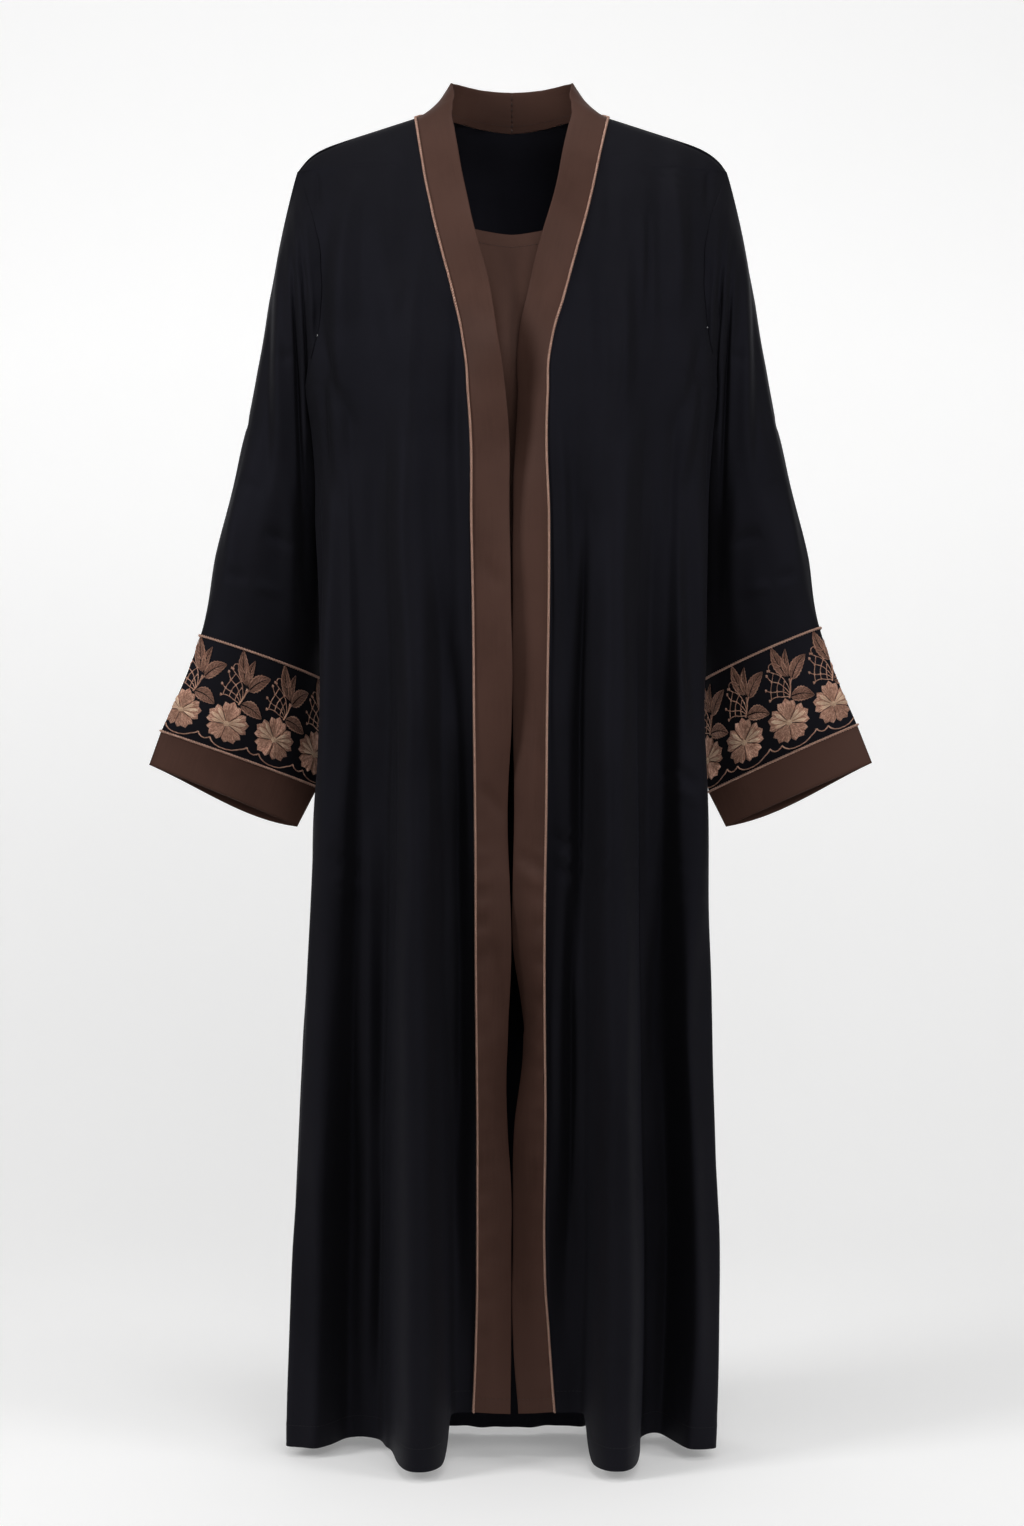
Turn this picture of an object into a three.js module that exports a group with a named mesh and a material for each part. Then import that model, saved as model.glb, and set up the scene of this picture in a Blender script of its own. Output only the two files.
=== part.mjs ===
// An open-front abaya in its worn shape, with nobody in it: two fronts, a back, long sleeves with cuffs, one band that
// runs up each front edge and stands as the collar, a trim cord beside the band, two cords round each sleeve and an
// inner panel across the chest.
// Millimetres, +Z up. The wearer faces -Y, so the wearer's left is +X. The origin is on the shoulder line midway
// between the two high shoulder points, where the wearer carries the garment. "Drop" is the distance below it.
import * as THREE from "three";

// Driving sizes
const hemDrop = 1385; // from the shoulder line to the hem
const frontEdgeRise = 37; // the front edges end this much above the hem
const riseNarrow = 58; // the rise is whole up to this distance from the centre
const riseWide = 80; // and is gone at this distance
const backHemDrop = 1389;
const highShoulder = 101; // from the centre to the neck end of the shoulder seam
const shoulderTip = 226; // from the centre to the sleeve end of the shoulder seam
const shoulderSlope = 0.31;
const tipRounding = 18; // extra fall of the shoulder seam at its very tip
const shoulderRoll = 60; // drop over which the cloth turns from the shoulder to the chest or back
const underarmDrop = 290;
const bandWidth = 38.5;
const clothWall = 1.4;
const bandWall = 2;
const seamGap = 0.4;
const armholeGap = 1.9;
const cordRadius = 1.4;
const cordLift = 0.45; // clear space under a cord
const cuffHeight = 38;
const cuffEase = 0.3; // how much wider each side of the cuff is than the sleeve above it
const foldsStart = 290; // drop at which the folds begin to open
const foldSteepness = 8; // how squarely a fold's walls stand
const panelTop = 134; // drop of the inner panel's top edge at the centre
const panelBottom = 605;
const panelScoop = 51; // how much higher its top edge is at the armholes
const panelInset = 22; // how far the inner panel hangs behind the fronts at the centre
const panelSideInset = 4.5; // and beside the armholes
const panelSideAngle = 4.5; // how far short of the armholes it stops

// The body at each drop: half widths on the wearer's right and left, and depths in front of and behind the side seam.
const bodySections = [
  { drop: 0, right: 226, left: 226, front: 30, back: 78 },
  { drop: 60, right: 226, left: 226, front: 52, back: 90 },
  { drop: 110, right: 225, left: 225, front: 75, back: 95 },
  { drop: 165, right: 223, left: 223, front: 91, back: 98 },
  { drop: 225, right: 220, left: 220, front: 102, back: 97 },
  { drop: 290, right: 216, left: 216, front: 108, back: 94 },
  { drop: 340, right: 210, left: 211, front: 108, back: 92 },
  { drop: 430, right: 206, left: 206, front: 105, back: 89 },
  { drop: 530, right: 203, left: 203, front: 100, back: 86 },
  { drop: 750, right: 209, left: 204, front: 86, back: 83 },
  { drop: 900, right: 216, left: 207, front: 74, back: 80 },
  { drop: 1075, right: 225, left: 212, front: 62, back: 76 },
  { drop: 1240, right: 231, left: 216, front: 54, back: 73 },
  { drop: 1400, right: 235, left: 209, front: 48, back: 72 },
];

// Folds, as angles round the body from the centre front (the wearer's left is positive, 180 is the centre back): where
// each lies near the top and at the hem, half its width, and its depth at the hem (negative for a hollow).
const folds = [
  { top: -30, hem: -22.7, half: 7.2, depth: 104 },
  { top: -46, hem: -43, half: 8.5, depth: -25 },
  { top: -64, hem: -64, half: 10, depth: 26 },
  { top: 30.8, hem: 28.6, half: 8.8, depth: 104 },
  { top: 47, hem: 46, half: 8, depth: -25 },
  { top: 65, hem: 62, half: 10, depth: 34 },
  { top: 123, hem: 120, half: 9.5, depth: 36 },
  { top: 151, hem: 148, half: 9, depth: 50 },
  { top: 178, hem: 181, half: 9, depth: -8 },
  { top: -153, hem: -150, half: 9, depth: 54 },
  { top: -127, hem: -123, half: 10, depth: 42 },
];

// The front edge at each drop: distance of the band's seam from the centre on each side, and the angle by which the
// band rolls back into the garment.
const frontEdges = [
  { drop: 0, right: 101, left: 101, rightRoll: 0, leftRoll: 0 },
  { drop: 45, right: 94, left: 91, rightRoll: 0, leftRoll: 0 },
  { drop: 105, right: 83, left: 78, rightRoll: 0, leftRoll: 0 },
  { drop: 155, right: 71, left: 65, rightRoll: 0, leftRoll: 10 },
  { drop: 205, right: 58.5, left: 52, rightRoll: 0, leftRoll: 20 },
  { drop: 250, right: 49, left: 40, rightRoll: 0, leftRoll: 30 },
  { drop: 300, right: 44.5, left: 36.5, rightRoll: 0, leftRoll: 32 },
  { drop: 430, right: 41, left: 37.5, rightRoll: 0, leftRoll: 18 },
  { drop: 640, right: 38.5, left: 35.5, rightRoll: 4, leftRoll: 22 },
  { drop: 725, right: 37.8, left: 35, rightRoll: 33, leftRoll: 20 },
  { drop: 865, right: 37.2, left: 33.3, rightRoll: 4, leftRoll: 36 },
  { drop: 955, right: 36.8, left: 33.8, rightRoll: 22, leftRoll: 56 },
  { drop: 1060, right: 36, left: 34.4, rightRoll: 34, leftRoll: 35 },
  { drop: 1180, right: 36, left: 33.6, rightRoll: 20, leftRoll: 30 },
  { drop: 1262, right: 37, left: 37.6, rightRoll: 4, leftRoll: 10 },
  { drop: 1348, right: 40, left: 44, rightRoll: 0, leftRoll: 24 },
];

// The collar on the wearer's left, from the shoulder seam to the centre back: the neck seam and the band's free edge.
const collar = [
  { seam: [101, 0, 0], edge: [62.5, -9, 17] },
  { seam: [91, 19, 6], edge: [63, 7, 35] },
  { seam: [77, 41, 9], edge: [61, 27, 42.5] },
  { seam: [54, 62, 7], edge: [45, 46, 43] },
  { seam: [28, 73, 3], edge: [24, 60, 42.5] },
  { seam: [0, 77, 0], edge: [0, 65, 42] },
];
const neckSeam = collar.map(({ seam: [x, y, z] }) => ({ x, y, z })).reverse();

// Distance of each armhole seam from the centre, on the fronts and on the back.
const armholes = [
  { drop: 57, front: 226, back: 226 },
  { drop: 90, front: 213, back: 217 },
  { drop: 125, front: 203, back: 210 },
  { drop: 165, front: 199, back: 207 },
  { drop: 205, front: 200, back: 207 },
  { drop: 245, front: 206, back: 210 },
  { drop: underarmDrop, front: 216, back: 216 },
];

// The left sleeve from the armhole to the cuff's hem: its outer and inner edges, and half its thickness.
const sleeveStations = [
  { at: 0, outer: [226, 2, -57], inner: [216, 2, -290], half: 42 },
  { at: 1, outer: [241, 4, -112], inner: [222, 12, -306], half: 46 },
  { at: 2, outer: [253, 8, -182], inner: [220, 38, -334], half: 47 },
  { at: 3, outer: [265, 12, -255], inner: [214, 55, -382], half: 49 },
  { at: 4, outer: [285, 18, -355], inner: [205, 67, -446], half: 49 },
  { at: 5, outer: [312, 24, -455], inner: [199, 76, -520], half: 47 },
  { at: 6, outer: [330, 28, -542], inner: [200, 80, -590], half: 42 },
  { at: 7, outer: [372, 32, -643], inner: [209, 66, -703], half: 22 },
  { at: 8, outer: [385, 33, -679], inner: [230, 55, -745], half: 13 },
];
const upperCordAt = 6;
const cuffSeamAt = 7;
const cuffHemAt = 8;

// How finely the cloth is divided
const rowDrops = [
  0, 8, 24, 60, 105, 150, 195, 236.5, 300, 400, 510, 640, 725, 865, 955, 1060, 1180, 1262, 1348,
];
const underarmRow = 7; // the row whose far end is at the underarm
const frontColumns = 24;
const shoulderColumns = 7;
const panelColumns = 18;
const panelRows = 6;
const sleeveColumnWidth = 30;
const sleeveRows = [0, 0.4, 0.9, 1.4, 2, 3, 4, 5, 6, 7];
const cordSides = 5;
const formedAt = 2; // station at which the sleeve has left the armhole's shape
const facingFrom = 3.2; // station from which the sleeve's front is square to its run; above, it turns to face forward
const sleeveSlice = 0.1; // stations on either side of a ring that give its direction
const finely = 160; // points that find the length of one row of cloth
const bendPull = 60; // how strongly a bend draws columns to it, as millimetres of cloth for each radian

const radians = (degrees) => (degrees * Math.PI) / 180;
const degreesOf = (angle) => (angle * 180) / Math.PI;
const clamp = (value, low, high) => Math.min(Math.max(value, low), high);
const mix = (a, b, share) => a + (b - a) * share;
const ease = (share) => share * share * (3 - 2 * share);

// A smooth curve through one column of a table: a function of the table's key.
function through(rows, key, column) {
  const k = rows.map((row) => row[key]);
  const v = rows.map((row) => (typeof column === "function" ? column(row) : row[column]));
  const step = (i) => (v[i + 1] - v[i]) / (k[i + 1] - k[i]);
  const slope = (i) => {
    if (i === 0) return step(0);
    if (i === v.length - 1) return step(i - 1);
    const before = k[i] - k[i - 1];
    const after = k[i + 1] - k[i];
    return (step(i - 1) * after + step(i) * before) / (before + after);
  };
  return (at) => {
    const x = clamp(at, k[0], k[k.length - 1]);
    let i = k.length - 2;
    while (i > 0 && x < k[i]) i -= 1;
    const span = k[i + 1] - k[i];
    const s = (x - k[i]) / span;
    const a = v[i] + slope(i) * span * s;
    const b = v[i + 1] - slope(i + 1) * span * (1 - s);
    return mix(a, b, ease(s));
  };
}

const halfWidth = { [-1]: through(bodySections, "drop", "right"), [1]: through(bodySections, "drop", "left") };
const frontDepth = through(bodySections, "drop", "front");
const backDepth = through(bodySections, "drop", "back");
const seamX = { [-1]: through(frontEdges, "drop", "right"), [1]: through(frontEdges, "drop", "left") };
const bandRoll = { [-1]: through(frontEdges, "drop", "rightRoll"), [1]: through(frontEdges, "drop", "leftRoll") };
const armholeX = { front: through(armholes, "drop", "front"), back: through(armholes, "drop", "back") };
const neckY = through(neckSeam, "x", "y");
const neckZ = through(neckSeam, "x", "z");

// Height of the shoulder seam at a distance from the centre.
function shoulderZ(x) {
  const out = Math.max(Math.abs(x) - highShoulder, 0);
  return -shoulderSlope * out - tipRounding * (out / (shoulderTip - highShoulder)) ** 8;
}

// How far the folds push the cloth out, at an angle round the body and a drop.
function foldDepth(angle, drop) {
  const open = clamp((drop - foldsStart) / (hemDrop - foldsStart), 0, 1);
  return folds.reduce((sum, fold) => {
    const centre = mix(fold.top, fold.hem, open);
    const away = Math.abs(((angle - centre + 540) % 360) - 180) / fold.half;
    return sum + fold.depth * open * Math.exp(-(away ** foldSteepness));
  }, 0);
}

// A point on the outside of the body cloth. "fallen" is how far it lies below the top edge there, whose depth is topY.
function bodyPoint(angle, drop, fallen, topY, push) {
  const side = Math.sin(radians(angle)) < 0 ? -1 : 1;
  const wide = halfWidth[side](drop);
  const deep = Math.abs(angle) <= 90 ? frontDepth(drop) : backDepth(drop);
  const s = Math.sin(radians(angle));
  const c = Math.cos(radians(angle));
  const normal = new THREE.Vector2((s * Math.abs(s)) / wide, -c / deep).normalize();
  const turned = Math.sqrt(1 - (1 - clamp(fallen / shoulderRoll, 0, 1)) ** 2);
  const y = mix(topY, -deep * c, turned);
  return new THREE.Vector3(wide * s + normal.x * push, y + normal.y * push, -drop);
}

// The angle at which a panel meets the armhole or, below the underarm, the side seam.
function sideAngle(drop, panel, side) {
  const deep = panel === "front" ? frontDepth(drop) : backDepth(drop);
  const seam = degreesOf(Math.acos(seamGap / deep));
  if (drop >= underarmDrop) return seam;
  const share = armholeX[panel](Math.max(drop, armholes[0].drop)) / halfWidth[side](drop);
  return Math.min(degreesOf(Math.asin(Math.min(share, 1))), seam);
}

// A line of points redrawn with the given number of stretches, which are shorter where the line bends.
function spaced(line, count) {
  const steps = line.slice(1).map((p, i) => p.clone().sub(line[i]));
  const reach = [0];
  steps.forEach((step, i) => {
    const bend = i === 0 ? 0 : step.angleTo(steps[i - 1]);
    reach.push(reach[i] + step.length() + bendPull * bend);
  });
  let i = 0;
  return Array.from({ length: count + 1 }, (_, n) => {
    const at = (reach[reach.length - 1] * n) / count;
    while (i < line.length - 2 && reach[i + 1] < at) i += 1;
    return line[i].clone().lerp(line[i + 1], (at - reach[i]) / (reach[i + 1] - reach[i]));
  });
}

const shares = (count) => Array.from({ length: count + 1 }, (_, n) => n / count);

// One front, as rows of points from the shoulder to the hem, each from the band's seam to the armhole or side.
function frontGrid(side) {
  const seamAngle = (drop) => degreesOf(Math.asin(seamX[side](drop) / halfWidth[side](drop)));
  return rowDrops.map((seamDrop) => {
    const t = seamDrop / (hemDrop - frontEdgeRise);
    const line = shares(finely).map((q) => {
      const topX = halfWidth[side](0) * Math.sin(radians(mix(seamAngle(0), 90, q)));
      const hemX = halfWidth[side](hemDrop) * Math.sin(radians(mix(seamAngle(hemDrop), 90, q)));
      const rise = frontEdgeRise * (1 - ease(clamp((hemX - riseNarrow) / (riseWide - riseNarrow), 0, 1)));
      const topDrop = -shoulderZ(topX);
      const drop = mix(topDrop, hemDrop - rise, t);
      const angle = side * mix(seamAngle(drop), sideAngle(drop, "front", side), q);
      return bodyPoint(angle, drop, drop - topDrop, -seamGap, foldDepth(angle, drop));
    });
    return spaced(line, frontColumns);
  });
}

// The back, as rows from the neck and shoulder seams to the hem, each from the wearer's right side to the left. Its
// neck columns start at the collar's points.
function backGrid() {
  const neckShares = collar.map(({ seam: [x] }) => degreesOf(Math.asin(x / halfWidth[1](0))) / 90);
  const neckEnd = neckShares[0];
  return rowDrops.map((seamDrop) => {
    const t = seamDrop / (hemDrop - frontEdgeRise);
    const pointAt = (q) => {
      const side = q < 0 ? -1 : 1;
      const x = halfWidth[side](0) * Math.sin(radians(90 * Math.abs(q)));
      const onNeck = Math.abs(q) <= neckEnd;
      const topDrop = onNeck ? seamGap - neckZ(x) : -shoulderZ(x);
      const topY = onNeck ? Math.max(neckY(x), seamGap) : seamGap;
      const drop = mix(topDrop, backHemDrop, t);
      const reach = sideAngle(Math.max(drop, 0), "back", side) * Math.abs(q);
      const angle = side * (180 - reach);
      return bodyPoint(angle, drop, drop - topDrop, topY, foldDepth(angle, drop));
    };
    const shoulder = (side) => shares(finely).map((s) => pointAt(side * mix(neckEnd, 1, s)));
    const [right, left] = [-1, 1].map((side) => spaced(shoulder(side), shoulderColumns).slice(1));
    const neckRight = neckShares.map((q) => pointAt(-q));
    const neckLeft = neckShares.slice(0, -1).map((q) => pointAt(q));
    return [...right.reverse(), ...neckRight, ...neckLeft.reverse(), ...left];
  });
}

// Direction of a line of points at one of them. "round" says that the line closes on itself.
function tangent(line, i, round) {
  const count = line.length;
  if (round) return line[(i + 1) % count].clone().sub(line[(i - 1 + count) % count]);
  if (i > 0 && i < count - 1) return line[i + 1].clone().sub(line[i - 1]);
  const way = i === 0 ? 1 : -1;
  const [a, b, c] = [0, 1, 2].map((n) => line[i + way * n]);
  return b.clone().multiplyScalar(4).addScaledVector(a, -3).sub(c).multiplyScalar(way);
}

// Outward normals of a grid of points. "turn" is 1 or -1, and "round" says that each row closes on itself.
function gridNormals(grid, turn, round) {
  const columns = grid[0].map((_, j) => grid.map((row) => row[j]));
  return grid.map((row, i) =>
    row.map((_, j) => {
      const down = tangent(columns[j], i, false);
      return down.cross(tangent(row, j, round)).multiplyScalar(turn).normalize();
    }),
  );
}

// Outward normals of a front or the back, whose walls meet squarely at the shoulder and side seams.
function panelNormals(grid, turn) {
  const normals = gridNormals(grid, turn, false);
  const onSeam = (p) => Math.abs(p.y) < 2 * seamGap;
  grid.forEach((row, i) => row.forEach((p, j) => onSeam(p) && normals[i][j].setY(0).normalize()));
  return normals;
}

// A closed wall of cloth: the grid is its outer face, and its inner face lies one wall further in.
function clothShell(grid, normals, wall, round = false) {
  const rows = grid.length;
  const columns = grid[0].length;
  const inner = grid.map((row, i) => row.map((p, j) => p.clone().addScaledVector(normals[i][j], -wall)));
  const points = [...grid.flat(), ...inner.flat()];
  const id = (layer, i, j) => (layer * rows + i) * columns + (j % columns);
  const faces = [];
  const quad = (a, b, c, d) => faces.push(a, b, c, a, c, d);
  const lastColumn = round ? columns : columns - 1;
  for (let i = 0; i < rows - 1; i += 1) {
    for (let j = 0; j < lastColumn; j += 1) {
      quad(id(0, i, j), id(0, i + 1, j), id(0, i + 1, j + 1), id(0, i, j + 1));
      quad(id(1, i, j), id(1, i, j + 1), id(1, i + 1, j + 1), id(1, i + 1, j));
    }
    if (!round) {
      quad(id(0, i, 0), id(1, i, 0), id(1, i + 1, 0), id(0, i + 1, 0));
      quad(id(0, i, columns - 1), id(0, i + 1, columns - 1), id(1, i + 1, columns - 1), id(1, i, columns - 1));
    }
  }
  for (let j = 0; j < lastColumn; j += 1) {
    quad(id(0, 0, j), id(0, 0, j + 1), id(1, 0, j + 1), id(1, 0, j));
    quad(id(0, rows - 1, j), id(1, rows - 1, j), id(1, rows - 1, j + 1), id(0, rows - 1, j + 1));
  }
  return closedGeometry(points, faces);
}

// A round cord along a line of points, lifted off the faces whose outward normals are given for each point. "round"
// joins its ends.
function cordAlong(line, faceNormals, round = false) {
  const count = line.length;
  const points = [];
  line.forEach((p, i) => {
    const along = tangent(line, i, round).normalize();
    const out = faceNormals[i].reduce((sum, normal) => sum.add(normal), new THREE.Vector3());
    out.addScaledVector(along, -out.dot(along)).normalize();
    const across = along.clone().cross(out);
    const lean = Math.min(...faceNormals[i].map((normal) => normal.dot(out)));
    const centre = p.clone().addScaledVector(out, (cordRadius + cordLift) / lean);
    for (let k = 0; k < cordSides; k += 1) {
      const angle = (2 * Math.PI * k) / cordSides;
      points.push(
        centre
          .clone()
          .addScaledVector(out, cordRadius * Math.cos(angle))
          .addScaledVector(across, cordRadius * Math.sin(angle)),
      );
    }
  });
  const faces = [];
  const id = (i, k) => (i % count) * cordSides + (k % cordSides);
  for (let i = 0; i < (round ? count : count - 1); i += 1)
    for (let k = 0; k < cordSides; k += 1)
      faces.push(id(i, k), id(i, k + 1), id(i + 1, k + 1), id(i, k), id(i + 1, k + 1), id(i + 1, k));
  if (!round)
    for (let k = 1; k < cordSides - 1; k += 1) {
      faces.push(id(0, 0), id(0, k + 1), id(0, k));
      faces.push(id(count - 1, 0), id(count - 1, k), id(count - 1, k + 1));
    }
  return closedGeometry(points, faces);
}

// A geometry whose faces point out, whichever way round they were listed.
function closedGeometry(points, faces) {
  let volume = 0;
  for (let i = 0; i < faces.length; i += 3) {
    const [a, b, c] = [0, 1, 2].map((n) => points[faces[i + n]]);
    volume += a.dot(b.clone().cross(c));
  }
  if (volume < 0)
    for (let i = 0; i < faces.length; i += 3) [faces[i + 1], faces[i + 2]] = [faces[i + 2], faces[i + 1]];
  const geometry = new THREE.BufferGeometry();
  geometry.setAttribute("position", new THREE.Float32BufferAttribute(points.flatMap((p) => p.toArray()), 3));
  geometry.setIndex(faces);
  geometry.computeVertexNormals();
  return geometry;
}

// The band from the hem up the front edge and round the neck to the centre back, as rows from its seam to its free
// edge, with the points and face normals that the cord beside it follows.
function bandRows(side, front, frontNormals, back, backNormals) {
  const rows = [];
  const seams = [];
  const beside = [];
  const addRow = (seam, edge, gap, normal) => {
    const inside = seam.clone().lerp(edge, gap / seam.distanceTo(edge));
    rows.push([inside, inside.clone().lerp(edge, 0.5), edge]);
    seams.push(seam);
    beside.push(normal);
  };
  const seamLine = front.map((row) => row[0]);
  for (let i = front.length - 1; i > 0; i -= 1) {
    const out = frontNormals[i][0];
    const inward = tangent(seamLine, i, false).normalize().cross(out).multiplyScalar(side).normalize();
    const roll = radians(bandRoll[side](-seamLine[i].z));
    const edge = seamLine[i].clone().addScaledVector(inward, bandWidth * Math.cos(roll));
    edge.addScaledVector(out, -bandWidth * Math.sin(roll));
    edge.setX(side * Math.max(side * edge.x, seamGap));
    addRow(seamLine[i].clone(), edge, 1.5 * seamGap + bandWall * Math.sin(roll), out);
  }
  const middle = (back[0].length - 1) / 2;
  collar.forEach((point, n) => {
    const [seam, edge] = [point.seam, point.edge].map(
      ([x, y, z]) => new THREE.Vector3(side * Math.max(x, seamGap), y, z),
    );
    addRow(seam, edge, seamGap, backNormals[0][middle + side * (collar.length - 1 - n)]);
  });
  const normals = gridNormals(rows, side, false);
  return { rows, normals, seams, faces: beside.map((normal, i) => [normal, normals[i][0]]) };
}

// The left sleeve's edges, worked out from its stations.
const sleeveCurve = (edge, n) => through(sleeveStations, "at", (row) => row[edge][n]);
const sleeveOuter = [0, 1, 2].map((n) => sleeveCurve("outer", n));
const sleeveInner = [0, 1, 2].map((n) => sleeveCurve("inner", n));
const sleeveHalf = through(sleeveStations, "at", "half");
const sleeveEdge = (curves, at) => new THREE.Vector3(...curves.map((curve) => curve(at)));

// The armhole as a loop from the shoulder tip down the front's edge and up the back's: its points on the wearer's
// left or mirrored to it, each with its turn round the sleeve in degrees.
function armholeLoop(side, front, back) {
  const down = front.slice(0, underarmRow + 1).map((row) => row[row.length - 1]);
  const up = back.slice(0, underarmRow + 1).map((row) => row[side > 0 ? row.length - 1 : 0]);
  return [[down, 0], [up.reverse(), 180]].flatMap(([line, from]) => {
    const gaps = line.slice(1).map((p, i) => p.distanceTo(line[i]));
    const whole = gaps.reduce((sum, gap) => sum + gap, 0);
    let gone = 0;
    return gaps.flatMap((gap, i) => {
      const pieces = Math.max(1, Math.round(gap / sleeveColumnWidth));
      const points = Array.from({ length: pieces }, (_, n) => {
        const p = line[i].clone().lerp(line[i + 1], n / pieces);
        p.setX(Math.abs(p.x) + armholeGap);
        return { p, turn: from + (180 * (gone + (gap * n) / pieces)) / whole };
      });
      gone += gap;
      return points;
    });
  });
}

// One ring of the sleeve, "out" further from its middle than the sleeve's own cloth.
function sleeveRing(side, loop, at, out = 0) {
  const outer = sleeveEdge(sleeveOuter, at);
  const inner = sleeveEdge(sleeveInner, at);
  const middle = outer.clone().add(inner).multiplyScalar(0.5);
  const square = Math.max(at, facingFrom);
  const [above, below] = [square - sleeveSlice, square + sleeveSlice].map((a) =>
    sleeveEdge(sleeveOuter, a).add(sleeveEdge(sleeveInner, a)),
  );
  const squareAcross = sleeveEdge(sleeveOuter, square).sub(sleeveEdge(sleeveInner, square));
  const front = below.sub(above).cross(squareAcross).normalize();
  const across = outer.clone().sub(inner).multiplyScalar(0.5);
  const reach = across.length() + out;
  across.normalize();
  front.lerpVectors(new THREE.Vector3(0, -1, 0), front, ease(clamp(at / facingFrom, 0, 1)));
  front.addScaledVector(across, -front.dot(across)).normalize();
  const blend = ease(clamp(at / formedAt, 0, 1));
  return loop.map(({ p, turn }) => {
    const formed = middle.clone().addScaledVector(across, reach * Math.cos(radians(turn)));
    formed.addScaledVector(front, (sleeveHalf(at) + out) * Math.sin(radians(turn)));
    const point = p.clone().lerp(formed, blend);
    return point.setX(side * point.x);
  });
}

const sleeveGrid = (side, loop, stations, out = 0) => stations.map((at) => sleeveRing(side, loop, at, out));

// The inner panel, behind both fronts from armhole to armhole, as rows from its top edge down.
function innerPanelGrid() {
  const columns = shares(panelColumns).map((s) => mix(-1, 1, s));
  return shares(panelRows).map((t) =>
    columns.map((q) => {
      const side = q < 0 ? -1 : 1;
      const scoop = panelScoop * Math.abs(Math.sin(radians(90 * q))) ** 1.5;
      const drop = mix(panelTop - scoop, panelBottom, t);
      const angle = (sideAngle(drop, "front", side) - panelSideAngle) * q;
      const inset = mix(panelSideInset, panelInset, Math.cos(radians(90 * q)) ** 2);
      const push = Math.min(foldDepth(angle, drop), 0) - inset;
      const fallen = drop + shoulderZ(halfWidth[side](drop) * Math.sin(radians(angle)));
      return bodyPoint(angle, drop, fallen, 0, push);
    }),
  );
}

// Finishes and the group of pieces
const black = { color: 0x17171b, roughness: 0.75, metalness: 0 };
const brown = { color: 0x4d3933, roughness: 0.7, metalness: 0 };
const copper = { color: 0xb98a72, roughness: 0.45, metalness: 0.2 };
const abaya = new THREE.Group();

function addPiece(name, geometry, finish) {
  const mesh = new THREE.Mesh(geometry, new THREE.MeshStandardMaterial(finish));
  mesh.name = name;
  abaya.add(mesh);
}

const back = backGrid();
const backNormals = panelNormals(back, -1);
const innerPanel = innerPanelGrid();
addPiece("back", clothShell(back, backNormals, clothWall), black);
addPiece("inner_panel", clothShell(innerPanel, gridNormals(innerPanel, 1, false), clothWall), brown);

for (const [name, side] of [["right", -1], ["left", 1]]) {
  const front = frontGrid(side);
  const frontNormals = panelNormals(front, side);
  const band = bandRows(side, front, frontNormals, back, backNormals);
  addPiece(`front_${name}`, clothShell(front, frontNormals, clothWall), black);
  addPiece(`band_${name}`, clothShell(band.rows, band.normals, bandWall), brown);
  addPiece(`front_cord_${name}`, cordAlong(band.seams, band.faces), copper);

  const loop = armholeLoop(side, front, back);
  const sleeve = sleeveGrid(side, loop, sleeveRows);
  addPiece(`sleeve_${name}`, clothShell(sleeve, gridNormals(sleeve, -side, true), clothWall, true), black);

  const cuffTop = cuffSeamAt + seamGap / cuffHeight;
  const cuff = sleeveGrid(side, loop, [cuffTop, (cuffTop + cuffHemAt) / 2, cuffHemAt], cuffEase);
  addPiece(`cuff_${name}`, clothShell(cuff, gridNormals(cuff, -side, true), bandWall, true), brown);

  for (const [place, at] of [["upper", upperCordAt], ["lower", cuffSeamAt]]) {
    const rings = sleeveGrid(side, loop, [at - sleeveSlice, at, at + sleeveSlice]);
    const normals = gridNormals(rings, -side, true)[1].map((normal) => [normal]);
    addPiece(`${place}_cord_${name}`, cordAlong(rings[1], normals, true), copper);
  }
}

export default abaya;
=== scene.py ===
import math
import bmesh
import bpy
import numpy as np
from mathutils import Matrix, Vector


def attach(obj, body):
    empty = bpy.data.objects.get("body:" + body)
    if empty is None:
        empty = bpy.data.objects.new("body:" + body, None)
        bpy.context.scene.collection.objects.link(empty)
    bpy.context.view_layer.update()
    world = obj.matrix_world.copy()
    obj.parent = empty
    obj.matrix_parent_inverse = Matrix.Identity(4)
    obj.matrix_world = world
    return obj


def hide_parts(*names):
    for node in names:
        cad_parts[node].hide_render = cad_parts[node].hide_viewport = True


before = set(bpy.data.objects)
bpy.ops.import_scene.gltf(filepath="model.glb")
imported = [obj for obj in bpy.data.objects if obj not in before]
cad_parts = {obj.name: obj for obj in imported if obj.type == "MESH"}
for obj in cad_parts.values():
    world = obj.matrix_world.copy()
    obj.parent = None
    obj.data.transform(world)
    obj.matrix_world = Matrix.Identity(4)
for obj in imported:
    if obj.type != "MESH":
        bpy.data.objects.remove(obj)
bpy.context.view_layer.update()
print("frame loaded:", len(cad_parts), "pieces")

# Sizes below are millimetres, and meshFrom turns them into metres. Wearer's left is +X, the front faces -Y.
# "Drop" is the distance below the shoulder line. Side is 1 on the wearer's left and -1 on the right.
mm = 0.001
sides = {"right": -1, "left": 1}


def smooth(share):
    share = np.clip(share, 0, 1)
    return share * share * (3 - 2 * share)


def mix(a, b, share):
    return a + (b - a) * share


def unit(v):
    return v / np.maximum(np.linalg.norm(v, axis=-1, keepdims=True), 1e-9)


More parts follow.
